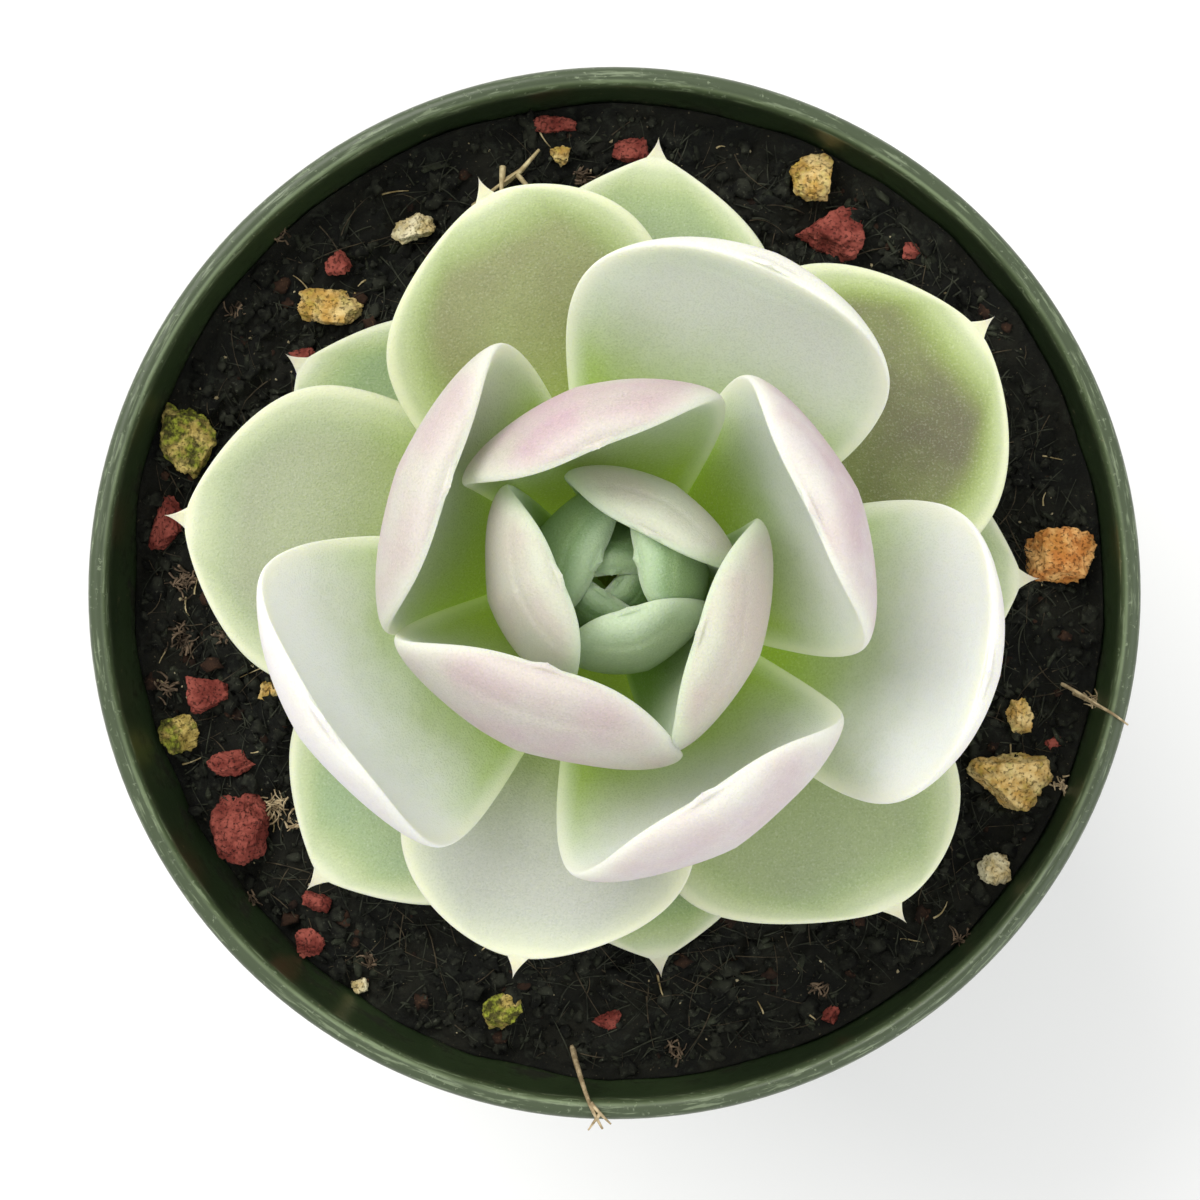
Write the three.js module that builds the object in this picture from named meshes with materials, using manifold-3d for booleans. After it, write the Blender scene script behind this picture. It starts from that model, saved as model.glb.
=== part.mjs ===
// A succulent rosette growing in a round nursery pot. Millimetres, +Z up, with the origin on the
// pot's axis in the plane that the pot stands on. The pot is moulded in one piece, the potting mix
// fills it, and the leaves spiral up a short stem at the golden angle. Gravel chips lie in the mix.
import * as THREE from "three";
import { mergeVertices } from "three/addons/utils/BufferGeometryUtils.js";
import Module from "manifold-3d";

const wasm = await Module();
wasm.setup();

// ---- Driving dimensions ----

// The pot
const RIM_DIAMETER = 102;
const POT_HEIGHT = 89;
const FOOT_DIAMETER = 72;
const POT_WALL = 1.1;
const LIP_WIDTH = 2.0; // the rounded bead round the mouth
const COLLAR_HEIGHT = 17; // the wider band below the mouth
const COLLAR_TAPER = 2.0; // how much narrower the collar is at its bottom than at the mouth
const COLLAR_STEP = 1.2; // how far the collar stands out from the body
const FLOOR_LIFT = 3.2; // from the foot up to the floor's underside
const FLOOR_THICKNESS = 1.4;
const DRAIN_HOLE_DIAMETER = 8;
const DRAIN_HOLE_COUNT = 4; // round the middle one
const DRAIN_RING_RADIUS = 21;
const FOOT_NOTCH_WIDTH = 7;

// The potting mix and the gravel in it
const SOIL_DROP = 7; // from the lip down to the mean surface of the mix
const SOIL_BUMP = 0.7;
const SOIL_BANK = 1.6; // how far the mix is heaped up against the wall
const SOIL_DIP = 4.5; // the hollow that watering has left beside the wall
const SOIL_DIP_DIRECTION = 215; // degrees from +X
const SOIL_DIP_SPREAD = 50;
const CHIP_SINK = 0.3; // the share of a chip's height that is below the surface
const FIT_GAP = 0.3; // between pieces that touch

// The plant
const TIP_CLEARANCE = 4; // the plant's radius stays this far inside the mouth
const STEM_RADIUS = 4.0;
const STEM_TOP_RADIUS = 0.8;
const LEAF_RISE = 0.55; // up the stem, from one leaf to the next
const ROOT_DEPTH = 30;
const ROOT_COUNT = 5;
const ROOT_RADIUS = 1.1;
const PLANT_OFFSET_X = -0.2; // the stem stands a little off the pot's axis
const PLANT_OFFSET_Y = 1.4;

// ---- Derived places ----

const RIM_RADIUS = RIM_DIAMETER / 2;
const FOOT_RADIUS = FOOT_DIAMETER / 2;
const MOUTH_RADIUS = RIM_RADIUS - LIP_WIDTH;
const COLLAR_BOTTOM = POT_HEIGHT - COLLAR_HEIGHT;
const COLLAR_SLOPE = 1.2; // the height over which the body widens into the collar
const FLOOR_TOP = FLOOR_LIFT + FLOOR_THICKNESS;
const SOIL_LEVEL = POT_HEIGHT - SOIL_DROP;
const PLANT_RADIUS = MOUTH_RADIUS - TIP_CLEARANCE;

const { degToRad, lerp, clamp } = THREE.MathUtils;

// ---- Solids: closed meshes that can be joined and cut ----

function solidOf(geometry) {
  const bare = geometry.clone();
  bare.deleteAttribute("normal");
  bare.deleteAttribute("uv");
  const merged = mergeVertices(bare, 1e-4);
  return new wasm.Manifold(
    new wasm.Mesh({
      numProp: 3,
      vertProperties: new Float32Array(merged.attributes.position.array),
      triVerts: new Uint32Array(merged.index.array),
    }),
  );
}

function geometryOf(solid) {
  const mesh = solid.getMesh();
  const geometry = new THREE.BufferGeometry();
  geometry.setAttribute("position", new THREE.BufferAttribute(mesh.vertProperties, 3));
  geometry.setIndex(new THREE.BufferAttribute(mesh.triVerts, 1));
  geometry.computeVertexNormals();
  return geometry;
}

const cutAll = (solid, cutters) => cutters.reduce((rest, cutter) => rest.subtract(cutter), solid);

const joinAll = (solids) => solids.reduce((whole, next) => whole.add(next));

function boxesMeet(one, other) {
  const a = one.boundingBox();
  const b = other.boundingBox();
  return [0, 1, 2].every((k) => a.min[k] < b.max[k] && b.min[k] < a.max[k]);
}

// A piece pressed by its neighbours keeps its main body.
function mainBody(solid) {
  return solid.decompose().sort((one, other) => other.volume() - one.volume())[0];
}

// ---- The pot ----

const POT_SIDES = 48;
const LIP_STEPS = 4;

// A profile is a line of [radius, height] points, turned about the pot's axis.
function turned(profile, sides) {
  const points = profile.map(([radius, height]) => new THREE.Vector2(radius, height));
  return new THREE.LatheGeometry(points, sides).rotateX(Math.PI / 2);
}

// The body tapers from the collar to the foot, and the collar stands out from it.
const COLLAR_RADIUS = MOUTH_RADIUS - COLLAR_TAPER;
const BODY_TOP_RADIUS = COLLAR_RADIUS + POT_WALL - COLLAR_STEP;

function innerRadius(height) {
  if (height >= COLLAR_BOTTOM) {
    const up = clamp((height - COLLAR_BOTTOM) / (COLLAR_HEIGHT - LIP_WIDTH / 2), 0, 1);
    return lerp(COLLAR_RADIUS, MOUTH_RADIUS, up);
  }
  const share = clamp((height - FLOOR_TOP) / (COLLAR_BOTTOM - COLLAR_SLOPE - FLOOR_TOP), 0, 1);
  return lerp(FOOT_RADIUS, BODY_TOP_RADIUS, share) - POT_WALL;
}

function potWall() {
  const lip = LIP_WIDTH / 2;
  const lipPoints = [];
  for (let i = 0; i <= LIP_STEPS; i++) {
    const angle = (Math.PI * i) / LIP_STEPS;
    const radius = RIM_RADIUS - lip + lip * Math.cos(angle);
    lipPoints.push([radius, POT_HEIGHT - lip + lip * Math.sin(angle)]);
  }
  return turned(
    [
      [0, FLOOR_LIFT],
      [FOOT_RADIUS - 3 * POT_WALL, FLOOR_LIFT],
      [FOOT_RADIUS - 2 * POT_WALL, 0],
      [FOOT_RADIUS - 0.3 * POT_WALL, 0],
      [FOOT_RADIUS, POT_WALL],
      [BODY_TOP_RADIUS, COLLAR_BOTTOM - COLLAR_SLOPE],
      [COLLAR_RADIUS + POT_WALL, COLLAR_BOTTOM],
      [MOUTH_RADIUS + POT_WALL - 0.2, POT_HEIGHT - 1.4 * LIP_WIDTH],
      [RIM_RADIUS, POT_HEIGHT - LIP_WIDTH],
      ...lipPoints,
      [COLLAR_RADIUS, COLLAR_BOTTOM],
      [BODY_TOP_RADIUS - POT_WALL, COLLAR_BOTTOM - COLLAR_SLOPE],
      [FOOT_RADIUS - POT_WALL, FLOOR_TOP],
      [0, FLOOR_TOP],
    ],
    POT_SIDES,
  );
}

function drainHole(x, y) {
  const depth = 3 * FLOOR_TOP;
  const radius = DRAIN_HOLE_DIAMETER / 2;
  return new THREE.CylinderGeometry(radius, radius, depth, 16).rotateX(Math.PI / 2).translate(x, y, 0);
}

// Water runs out from under the floor through a notch in the foot beside each hole.
function footNotch(angle) {
  return new THREE.BoxGeometry(FOOT_RADIUS, FOOT_NOTCH_WIDTH, FLOOR_LIFT)
    .translate(FOOT_RADIUS, 0, 0)
    .rotateZ(angle);
}

function potGeometry() {
  const cutters = [solidOf(drainHole(0, 0))];
  for (let i = 0; i < DRAIN_HOLE_COUNT; i++) {
    const angle = (2 * Math.PI * (i + 0.5)) / DRAIN_HOLE_COUNT;
    const x = DRAIN_RING_RADIUS * Math.cos(angle);
    const y = DRAIN_RING_RADIUS * Math.sin(angle);
    cutters.push(solidOf(drainHole(x, y)), solidOf(footNotch(angle)));
  }
  return geometryOf(cutAll(solidOf(potWall()), cutters));
}

// ---- The leaves ----

const GOLDEN_ANGLE = 137.5;
const FIRST_DIRECTION = 277;
const SPINE_STEPS = 60;
const WIDEST_AT = 0.66; // along the leaf, from its base
const NECK = 0.36; // the base's width as a share of the widest
const UPPER_SHARE = 0.25; // of the thickness is above the margins
const KEEL = 0.25; // how much of the underside runs down to a keel
const OUTER_LEAVES = 10; // the oldest, which lie nearly flat and have the longest spikes
const INCURVED_FROM = 11;
const BUD_FROM = 18;
const FLARE = 2.2; // over which the margins run out into the spike
const SPIKE_THICKNESS = 0.56; // the most that the spike adds to the blade

// From the oldest leaf, at the bottom, to the youngest in the bud. turn moves a leaf from its place
// in the spiral. blade holds its length, its half width and its thickness, as shares of the plant's
// radius, and slope the slopes of its base and tip. cup raises its margins, bend swings its tip, and
// skew carries the left side of its end further than the right. Angles are in degrees. blunt is
// small on a broad end and large on a pointed one.
const LEAVES = [
  { turn: 0, blade: [0.745, 0.263, 0.093], slope: [4, 0], cup: 0.1, blunt: 0.95 },
  { turn: 6, blade: [0.735, 0.263, 0.093], slope: [5, 0], cup: 0.1, blunt: 0.95 },
  { turn: -2, blade: [0.8, 0.288, 0.093], slope: [6, 2], cup: 0.1, blunt: 0.92 },
  { turn: 1, blade: [0.82, 0.288, 0.098], slope: [7, 2], cup: 0.1, blunt: 0.9 },
  { turn: -3, blade: [0.835, 0.288, 0.098], slope: [8, 3], cup: 0.1, blunt: 0.95 },
  { turn: 0, blade: [0.855, 0.324, 0.107], slope: [12, 8], cup: 0.12, blunt: 0.72, bend: 2, skew: 0.29 },
  { turn: -1, blade: [0.855, 0.319, 0.107], slope: [14, 8], cup: 0.12, blunt: 0.8, bend: 2 },
  { turn: -4, blade: [0.88, 0.35, 0.111], slope: [15, 8], cup: 0.12, blunt: 0.75, bend: 8 },
  { turn: -1, blade: [0.78, 0.309, 0.111], slope: [18, 14], cup: 0.12, blunt: 0.68, skew: -0.1 },
  { turn: -11, blade: [0.805, 0.309, 0.111], slope: [20, 14], cup: 0.12, blunt: 0.7, skew: -0.2 },
  { turn: 3, blade: [1, 0.314, 0.108], slope: [6, 87], cup: 0.14, blunt: 0.52, bend: 2 },
  { turn: -1, blade: [0.982, 0.34, 0.097], slope: [22, 110], cup: 0.14, blunt: 0.48, bend: 11 },
  { turn: -4, blade: [0.869, 0.335, 0.118], slope: [22, 80], cup: 0.14, blunt: 0.48, skew: -0.2 },
  { turn: 1, blade: [0.89, 0.318, 0.124], slope: [25, 128], cup: 0.12, blunt: 0.46, bend: 12 },
  { turn: -3, blade: [0.814, 0.312, 0.115], slope: [37, 123], cup: 0.1, blunt: 0.46, bend: 12 },
  { turn: 2, blade: [0.854, 0.298, 0.132], slope: [38, 116], cup: 0.1, blunt: 0.46, bend: 9 },
  { turn: -2, blade: [0.773, 0.308, 0.134], slope: [46, 138], cup: 0.08, blunt: 0.5, bend: 18 },
  { turn: -5, blade: [0.784, 0.27, 0.124], slope: [50, 122], cup: 0.12, blunt: 0.5, bend: 18 },
  { turn: 4, blade: [0.694, 0.25, 0.131], slope: [53, 123], cup: 0.08, blunt: 0.52, bend: 17 },
  { turn: 0, blade: [0.644, 0.21, 0.122], slope: [63, 127], cup: 0.08, blunt: 0.52, bend: 18 },
  { turn: 5, blade: [0.571, 0.197, 0.118], slope: [66, 115], cup: 0.08, blunt: 0.52, bend: 11 },
  { turn: 24, blade: [0.532, 0.153, 0.108], slope: [66, 125], cup: 0.1, blunt: 0.55, bend: -7 },
  { turn: 9, blade: [0.43, 0.16, 0.098], slope: [64, 138], cup: 0.12, blunt: 0.5, bend: 15 },
  { turn: 32, blade: [0.52, 0.148, 0.1], slope: [60, 140], cup: 0.14, blunt: 0.5, bend: -16 },
  { turn: 19, blade: [0.37, 0.155, 0.08], slope: [70, 125], cup: 0.15, blunt: 0.5 },
  { turn: 15, blade: [0.35, 0.13, 0.09], slope: [76, 124], cup: 0.15, blunt: 0.5 },
  { turn: 18, blade: [0.32, 0.12, 0.09], slope: [78, 118], cup: 0.15, blunt: 0.5 },
];

const FIRST_LEAF_HEIGHT = SOIL_LEVEL + 0.4;
const STEM_TOP = FIRST_LEAF_HEIGHT + LEAF_RISE * LEAVES.length;

// Where the leaf with this number grows, and the sizes of its blade and of the spike at its tip.
function leafShape(number) {
  const { turn, blade, slope, ...rest } = LEAVES[number];
  const [length, width, thick] = blade.map((share) => share * PLANT_RADIUS);
  const [lift, end] = slope;
  const age = number / (LEAVES.length - 1);
  return {
    bend: 0,
    skew: 0,
    ...rest,
    length,
    width,
    thick,
    lift,
    end,
    direction: degToRad(FIRST_DIRECTION - GOLDEN_ANGLE * number + turn),
    root: lerp(STEM_RADIUS, STEM_TOP_RADIUS, age),
    height: FIRST_LEAF_HEIGHT + LEAF_RISE * number,
    curl: number < INCURVED_FROM ? 1.3 : 2,
    spike: number < OUTER_LEAVES ? 2.1 : lerp(1.1, 0.5, age),
    spikeRadius: number < OUTER_LEAVES ? 1 : lerp(4, 0.8, age),
  };
}

// The spine curls up from the stem: points and directions at even steps to the end of the spike.
function leafSpine(leaf) {
  const end = 1 + leaf.spike / leaf.length;
  const place = new THREE.Vector3(0, 0, leaf.height);
  place.x = PLANT_OFFSET_X + leaf.root * Math.cos(leaf.direction);
  place.y = PLANT_OFFSET_Y + leaf.root * Math.sin(leaf.direction);
  const points = [place.clone()];
  for (let i = 0; i < SPINE_STEPS; i++) {
    const step = end / SPINE_STEPS;
    place.addScaledVector(leafDirection(leaf, (i + 0.5) * step), step * leaf.length);
    points.push(place.clone());
  }
  return (s) => {
    const at = clamp((s / end) * SPINE_STEPS, 0, SPINE_STEPS);
    const below = Math.min(Math.floor(at), SPINE_STEPS - 1);
    return points[below].clone().lerp(points[below + 1], at - below);
  };
}

const leafHeading = (leaf, s) => leaf.direction + degToRad(leaf.bend) * s;

function leafDirection(leaf, s) {
  const slope = degToRad(leaf.lift + (leaf.end - leaf.lift) * Math.min(s, 1) ** leaf.curl);
  const heading = leafHeading(leaf, s);
  const level = Math.cos(slope);
  return new THREE.Vector3(level * Math.cos(heading), level * Math.sin(heading), Math.sin(slope));
}

// The outline of the blade: its half width at s, which runs from 0 at the base to 1 at the tip.
function outline(leaf, s) {
  if (s <= WIDEST_AT) return NECK + (1 - NECK) * Math.sin(((Math.PI / 2) * s) / WIDEST_AT) ** 1.35;
  const x = (s - WIDEST_AT) / (1 - WIDEST_AT);
  return Math.max(0, 1 - x ** 2.2) ** leaf.blunt;
}

// Half width, thickness and margin lift at s. The spike runs on from the blade past s = 1.
function leafSection(leaf, s) {
  if (s > 1) {
    const left = Math.max(0, 1 - ((s - 1) * leaf.length) / leaf.spike);
    const spike = leaf.spikeRadius * left ** 1.6;
    return { width: spike, thick: Math.min(0.8 * spike, SPIKE_THICKNESS), lift: 0 };
  }
  const spike = leaf.spikeRadius * Math.exp((-(1 - s) * leaf.length) / FLARE);
  const width = outline(leaf, s);
  const belly = 0.55 + 0.45 * Math.sin(Math.PI * Math.min(1, 1.1 * s)) ** 0.8;
  const thick = leaf.thick * belly * Math.min(1, width / 0.75) ** 0.8;
  const lift = leaf.cup * leaf.width * width * (0.35 + 0.65 * Math.min(1, s / 0.6));
  return {
    width: leaf.width * width + spike,
    thick: thick + Math.min(0.8 * spike, SPIKE_THICKNESS),
    lift,
  };
}

// A sphere's rows become the leaf's sections, from the spike's end to the base, and its columns run
// round each section. grow makes the leaf that much larger all over, for cutting its neighbours.
function leafGeometry(leaf, grow = 0) {
  const size = clamp(leaf.length / (0.75 * PLANT_RADIUS), 0, 1);
  const rows = Math.round(lerp(6, 10, size));
  const sides = 2 * Math.round(lerp(3, 4, size));
  const spine = leafSpine(leaf);
  const geometry = new THREE.SphereGeometry(1, sides, rows);
  const position = geometry.attributes.position;
  const spikeRows = 2;
  for (let row = 0; row <= rows; row++) {
    const left = (row - spikeRows) / (rows - 1 - spikeRows);
    const blade = Math.min(1, Math.max(0, left)) ** 1.6;
    const beyond = (Math.max(0, spikeRows - row) / spikeRows) * (leaf.spike / leaf.length);
    const s = row < spikeRows ? 1 + beyond : 1 - blade;
    const pole = row === 0 || row === rows;
    const section = leafSection(leaf, s);
    const along = leafDirection(leaf, s);
    const heading = leafHeading(leaf, s);
    const side = new THREE.Vector3(-Math.sin(heading), Math.cos(heading), 0);
    const up = along.clone().cross(side);
    const centre = spine(s);
    if (row === 0) centre.addScaledVector(along, grow);
    if (row >= rows - 1) centre.addScaledVector(along, -grow);
    for (let column = 0; column <= sides; column++) {
      const angle = (2 * Math.PI * column) / sides;
      const c = Math.cos(angle);
      const depth = -Math.sin(angle);
      const under = section.thick * (1 - UPPER_SHARE) * ((1 - KEEL) * depth + KEEL * (1 - Math.abs(c)));
      const over = section.thick * UPPER_SHARE * depth;
      const y = pole ? 0 : (section.width + grow) * c;
      const z = pole ? 0 : section.lift * c * c - (depth > 0 ? under : over) - grow * depth;
      const forward = leaf.skew * y * Math.min(1, s) ** 2;
      const point = centre.clone().addScaledVector(side, y).addScaledVector(up, z);
      point.addScaledVector(along, forward);
      position.setXYZ(row * (sides + 1) + column, point.x, point.y, point.z);
    }
  }
  return geometry;
}

// ---- The stem and its roots ----

const STEM_SIDES = 12;
const FIRST_ROOT_HEADING = 0.6; // radians from +X

function rootPath(number, grow) {
  const heading = (2 * Math.PI * number) / ROOT_COUNT + FIRST_ROOT_HEADING;
  const start = SOIL_LEVEL - 0.2 * ROOT_DEPTH;
  const at = (reach, depth, turn) =>
    new THREE.Vector3(
      PLANT_OFFSET_X + reach * Math.cos(heading + turn),
      PLANT_OFFSET_Y + reach * Math.sin(heading + turn),
      start - depth,
    );
  return new THREE.CatmullRomCurve3([
    at(0, 0, 0),
    at(0.25 * ROOT_DEPTH, 0.16 * ROOT_DEPTH, 0.1),
    at(0.45 * ROOT_DEPTH, 0.45 * ROOT_DEPTH, 0.35),
    at(0.5 * ROOT_DEPTH, 0.8 * ROOT_DEPTH + grow, 0.5),
  ]);
}

function rootGeometry(number, grow) {
  const section = new THREE.Shape().absarc(0, 0, ROOT_RADIUS + grow, 0, 2 * Math.PI);
  return new THREE.ExtrudeGeometry(section, {
    extrudePath: rootPath(number, grow),
    steps: 7,
    curveSegments: 3,
    bevelEnabled: false,
  });
}

function stemSolid(grow = 0) {
  const bottom = SOIL_LEVEL - ROOT_DEPTH / 2 - grow;
  const shaft = turned(
    [
      [0, bottom],
      [0.55 * STEM_RADIUS + grow, bottom],
      [STEM_RADIUS + grow, SOIL_LEVEL - 0.15 * ROOT_DEPTH],
      [STEM_RADIUS + grow, FIRST_LEAF_HEIGHT],
      [STEM_TOP_RADIUS + grow, STEM_TOP + grow],
      [0, STEM_TOP + grow],
    ],
    STEM_SIDES,
  ).translate(PLANT_OFFSET_X, PLANT_OFFSET_Y, 0);
  const roots = Array.from({ length: ROOT_COUNT }, (_, i) => solidOf(rootGeometry(i, grow)));
  return joinAll([solidOf(shaft), ...roots]);
}

// ---- The potting mix ----

const SOIL_SIDES = 32;
const SOIL_RINGS = 6;
const DIP_HEADING = degToRad(SOIL_DIP_DIRECTION);

// The height of the surface: gentle lumps, a bank against the wall, and the hollow beside it.
function soilHeight(x, y) {
  const radius = Math.hypot(x, y);
  const heading = Math.atan2(y, x);
  const lumps = Math.sin(0.31 * x + 1.2) * Math.cos(0.27 * y - 0.4) + 0.5 * Math.sin(0.53 * x - 0.47 * y);
  const outward = clamp((radius - 0.7 * MOUTH_RADIUS) / (0.3 * MOUTH_RADIUS), 0, 1);
  const away = Math.abs(Math.atan2(Math.sin(heading - DIP_HEADING), Math.cos(heading - DIP_HEADING)));
  const dip = Math.exp(-((away / degToRad(SOIL_DIP_SPREAD)) ** 2));
  return SOIL_LEVEL + SOIL_BUMP * lumps + outward ** 2 * lerp(SOIL_BANK, -SOIL_DIP, dip);
}

// A turned plug that fills the pot, with the points of its top raised and lowered to the surface.
function soilSolid() {
  const wallGap = FIT_GAP;
  const floor = FLOOR_TOP + FIT_GAP;
  const belowCollar = COLLAR_BOTTOM - COLLAR_SLOPE;
  const side = [
    [0, floor],
    [innerRadius(floor) - wallGap, floor],
    [innerRadius(belowCollar) - wallGap, belowCollar],
    [COLLAR_RADIUS - wallGap, COLLAR_BOTTOM],
  ];
  const edge = innerRadius(SOIL_LEVEL) - wallGap;
  const top = [];
  for (let ring = SOIL_RINGS; ring >= 0; ring--) top.push([(edge * ring) / SOIL_RINGS, SOIL_LEVEL]);
  const geometry = turned([...side, ...top], SOIL_SIDES);
  const position = geometry.attributes.position;
  for (let i = 0; i < position.count; i++) {
    if (Math.abs(position.getZ(i) - SOIL_LEVEL) > 0.001) continue;
    const height = soilHeight(position.getX(i), position.getY(i));
    const fit = Math.min(1, (innerRadius(height) - wallGap) / edge);
    position.setXYZ(i, fit * position.getX(i), fit * position.getY(i), height);
  }
  return solidOf(geometry);
}

// ---- The gravel ----

// Where each chip lies: its direction from +X and its reach as a share of the mouth's radius, then
// its width and depth in millimetres and how far it is turned.
const CHIPS = [
  { stone: "lava", heading: 97, reach: 0.955, width: 4.0, depth: 2.4, turn: 10 },
  { stone: "pumice", heading: 97, reach: 0.888, width: 2.1, depth: 1.9, turn: 0 },
  { stone: "lava", heading: 88, reach: 0.892, width: 3.9, depth: 2.4, turn: -8 },
  { stone: "pale", heading: 119, reach: 0.844, width: 4.3, depth: 3.1, turn: 20 },
  { stone: "pumice", heading: 135, reach: 0.815, width: 6.4, depth: 3.1, turn: -12 },
  { stone: "lava", heading: 130, reach: 0.865, width: 2.5, depth: 2.2, turn: 30 },
  { stone: "lava", heading: 143, reach: 0.79, width: 2.4, depth: 2.1, turn: 0 },
  { stone: "moss", heading: 160, reach: 0.91, width: 5.6, depth: 7.2, turn: 15 },
  { stone: "lava", heading: 171, reach: 0.918, width: 3.9, depth: 4.8, turn: -10 },
  { stone: "pumice", heading: 65, reach: 0.935, width: 3.9, depth: 6.0, turn: -14 },
  { stone: "lava", heading: 59, reach: 0.845, width: 6.4, depth: 5.0, turn: 25 },
  { stone: "lava", heading: 49, reach: 0.912, width: 1.9, depth: 1.7, turn: 0 },
  { stone: "amber", heading: 5, reach: 0.9, width: 7.0, depth: 5.3, turn: -18 },
  { stone: "pumice", heading: -17, reach: 0.855, width: 2.7, depth: 3.9, turn: 12 },
  { stone: "lava", heading: -19, reach: 0.94, width: 2.3, depth: 1.6, turn: -20 },
  { stone: "pumice", heading: -26, reach: 0.878, width: 8.2, depth: 5.6, turn: 8 },
  { stone: "pale", heading: -36, reach: 0.945, width: 3.3, depth: 3.0, turn: 40 },
  { stone: "lava", heading: 194, reach: 0.85, width: 4.2, depth: 3.7, turn: 0 },
  { stone: "moss", heading: 198, reach: 0.935, width: 3.9, depth: 3.7, turn: 22 },
  { stone: "lava", heading: 204, reach: 0.843, width: 4.8, depth: 2.5, turn: -15 },
  { stone: "pumice", heading: 196, reach: 0.72, width: 2.9, depth: 1.9, turn: 5 },
  { stone: "lava", heading: 212, reach: 0.9, width: 5.8, depth: 7.0, turn: 18 },
  { stone: "lava", heading: 226, reach: 0.87, width: 2.7, depth: 2.3, turn: 0 },
  { stone: "lava", heading: 229, reach: 0.945, width: 2.3, depth: 3.3, turn: -35 },
  { stone: "pale", heading: 237, reach: 0.955, width: 1.8, depth: 1.7, turn: 0 },
  { stone: "moss", heading: 255, reach: 0.876, width: 3.9, depth: 3.6, turn: 33 },
  { stone: "lava", heading: 269, reach: 0.864, width: 2.9, depth: 2.3, turn: -6 },
  { stone: "lava", heading: 297, reach: 0.955, width: 1.9, depth: 1.7, turn: 0 },
];
const CHIP_FLATNESS = 0.75; // the height as a share of the smaller side
const CHIP_ROUGHNESS = 0.14;

// A broken stone: a ball whose points are pushed in and out, flattened and set into the mix.
function chipGeometry(number, grow = 0) {
  const chip = CHIPS[number];
  const geometry = new THREE.IcosahedronGeometry(1, 1);
  const position = geometry.attributes.position;
  const point = new THREE.Vector3();
  const height = CHIP_FLATNESS * Math.min(chip.width, chip.depth);
  for (let i = 0; i < position.count; i++) {
    point.fromBufferAttribute(position, i);
    const across = Math.sin(4.1 * point.x + number) + Math.cos(3.7 * point.y - 2 * number);
    point.multiplyScalar(1 + (CHIP_ROUGHNESS / 2) * (across + Math.sin(5 * point.z)));
    position.setXYZ(i, point.x, point.y, point.z);
  }
  const reach = chip.reach * MOUTH_RADIUS;
  const x = reach * Math.cos(degToRad(chip.heading));
  const y = reach * Math.sin(degToRad(chip.heading));
  return geometry
    .scale(chip.width / 2 + grow, chip.depth / 2 + grow, height / 2 + grow)
    .rotateZ(degToRad(chip.turn))
    .translate(x, y, soilHeight(x, y) + (0.5 - CHIP_SINK) * height);
}

// ---- Materials ----

const COLOURS = {
  pot: 0x333d23,
  soil: 0x1b1d10,
  stem: 0x7f9036,
  outerLeaf: 0xa7b278,
  middleLeaf: 0xd5dfcb,
  budLeaf: 0x96b276,
  lava: 0x75392b,
  pumice: 0xdeb469,
  amber: 0xcd7f3c,
  pale: 0xc9b98a,
  moss: 0x8a9a45,
};

function addPiece(group, name, geometry, colour, roughness) {
  const material = new THREE.MeshStandardMaterial({ color: colour, roughness, metalness: 0 });
  const mesh = new THREE.Mesh(geometry, material);
  mesh.name = name;
  group.add(mesh);
}

const numbered = (word, number) => `${word}_${String(number + 1).padStart(2, "0")}`;

// ---- Fitting the pieces together ----

// Each leaf is hollowed where the younger leaves press on it, and stands clear of the stem.
function leafSolids() {
  const shapes = LEAVES.map((_, number) => leafShape(number));
  const wholes = shapes.map((leaf) => solidOf(leafGeometry(leaf)));
  const presses = shapes.map((leaf) => solidOf(leafGeometry(leaf, FIT_GAP)));
  const stem = stemSolid(FIT_GAP);
  return wholes.map((whole, number) => {
    const younger = [...presses.slice(number + 1), ...wholes.slice(number + 1)];
    return mainBody(cutAll(whole, [stem, ...younger.filter((press) => boxesMeet(whole, press))]));
  });
}

// A chip stays inside the wall and gives way to the leaves and to the chips set before it.
function chipSolids() {
  const wall = innerRadius(SOIL_LEVEL - SOIL_DIP) - FIT_GAP;
  const mouth = new THREE.CylinderGeometry(wall, wall, POT_HEIGHT, POT_SIDES).rotateX(Math.PI / 2);
  const inside = solidOf(mouth.translate(0, 0, POT_HEIGHT));
  const leafPresses = LEAVES.map((_, number) => solidOf(leafGeometry(leafShape(number), FIT_GAP)));
  return CHIPS.map((_, number) => {
    const whole = solidOf(chipGeometry(number));
    const earlier = CHIPS.slice(0, number).map((_, other) => solidOf(chipGeometry(other, FIT_GAP)));
    const near = [...leafPresses, ...earlier].filter((press) => boxesMeet(whole, press));
    return mainBody(cutAll(whole, near).intersect(inside));
  });
}

function pocketedSoil() {
  const soil = soilSolid();
  const chips = CHIPS.map((_, number) => solidOf(chipGeometry(number, FIT_GAP)));
  const leaves = LEAVES.map((_, number) => solidOf(leafGeometry(leafShape(number), FIT_GAP)));
  const cutters = [stemSolid(FIT_GAP), ...chips, ...leaves.filter((leaf) => boxesMeet(soil, leaf))];
  return mainBody(cutAll(soil, cutters));
}

function leafColour(number) {
  if (number < OUTER_LEAVES) return COLOURS.outerLeaf;
  return number < BUD_FROM ? COLOURS.middleLeaf : COLOURS.budLeaf;
}

const part = new THREE.Group();
addPiece(part, "pot", potGeometry(), COLOURS.pot, 0.45);
addPiece(part, "soil", geometryOf(pocketedSoil()), COLOURS.soil, 0.95);
addPiece(part, "stem", geometryOf(stemSolid()), COLOURS.stem, 0.6);
leafSolids().forEach((leaf, number) => {
  addPiece(part, numbered("leaf", number), geometryOf(leaf), leafColour(number), 0.5);
});
chipSolids().forEach((chip, number) => {
  addPiece(part, numbered("chip", number), geometryOf(chip), COLOURS[CHIPS[number].stone], 0.9);
});

export default part;
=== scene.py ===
import math
import random

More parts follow.
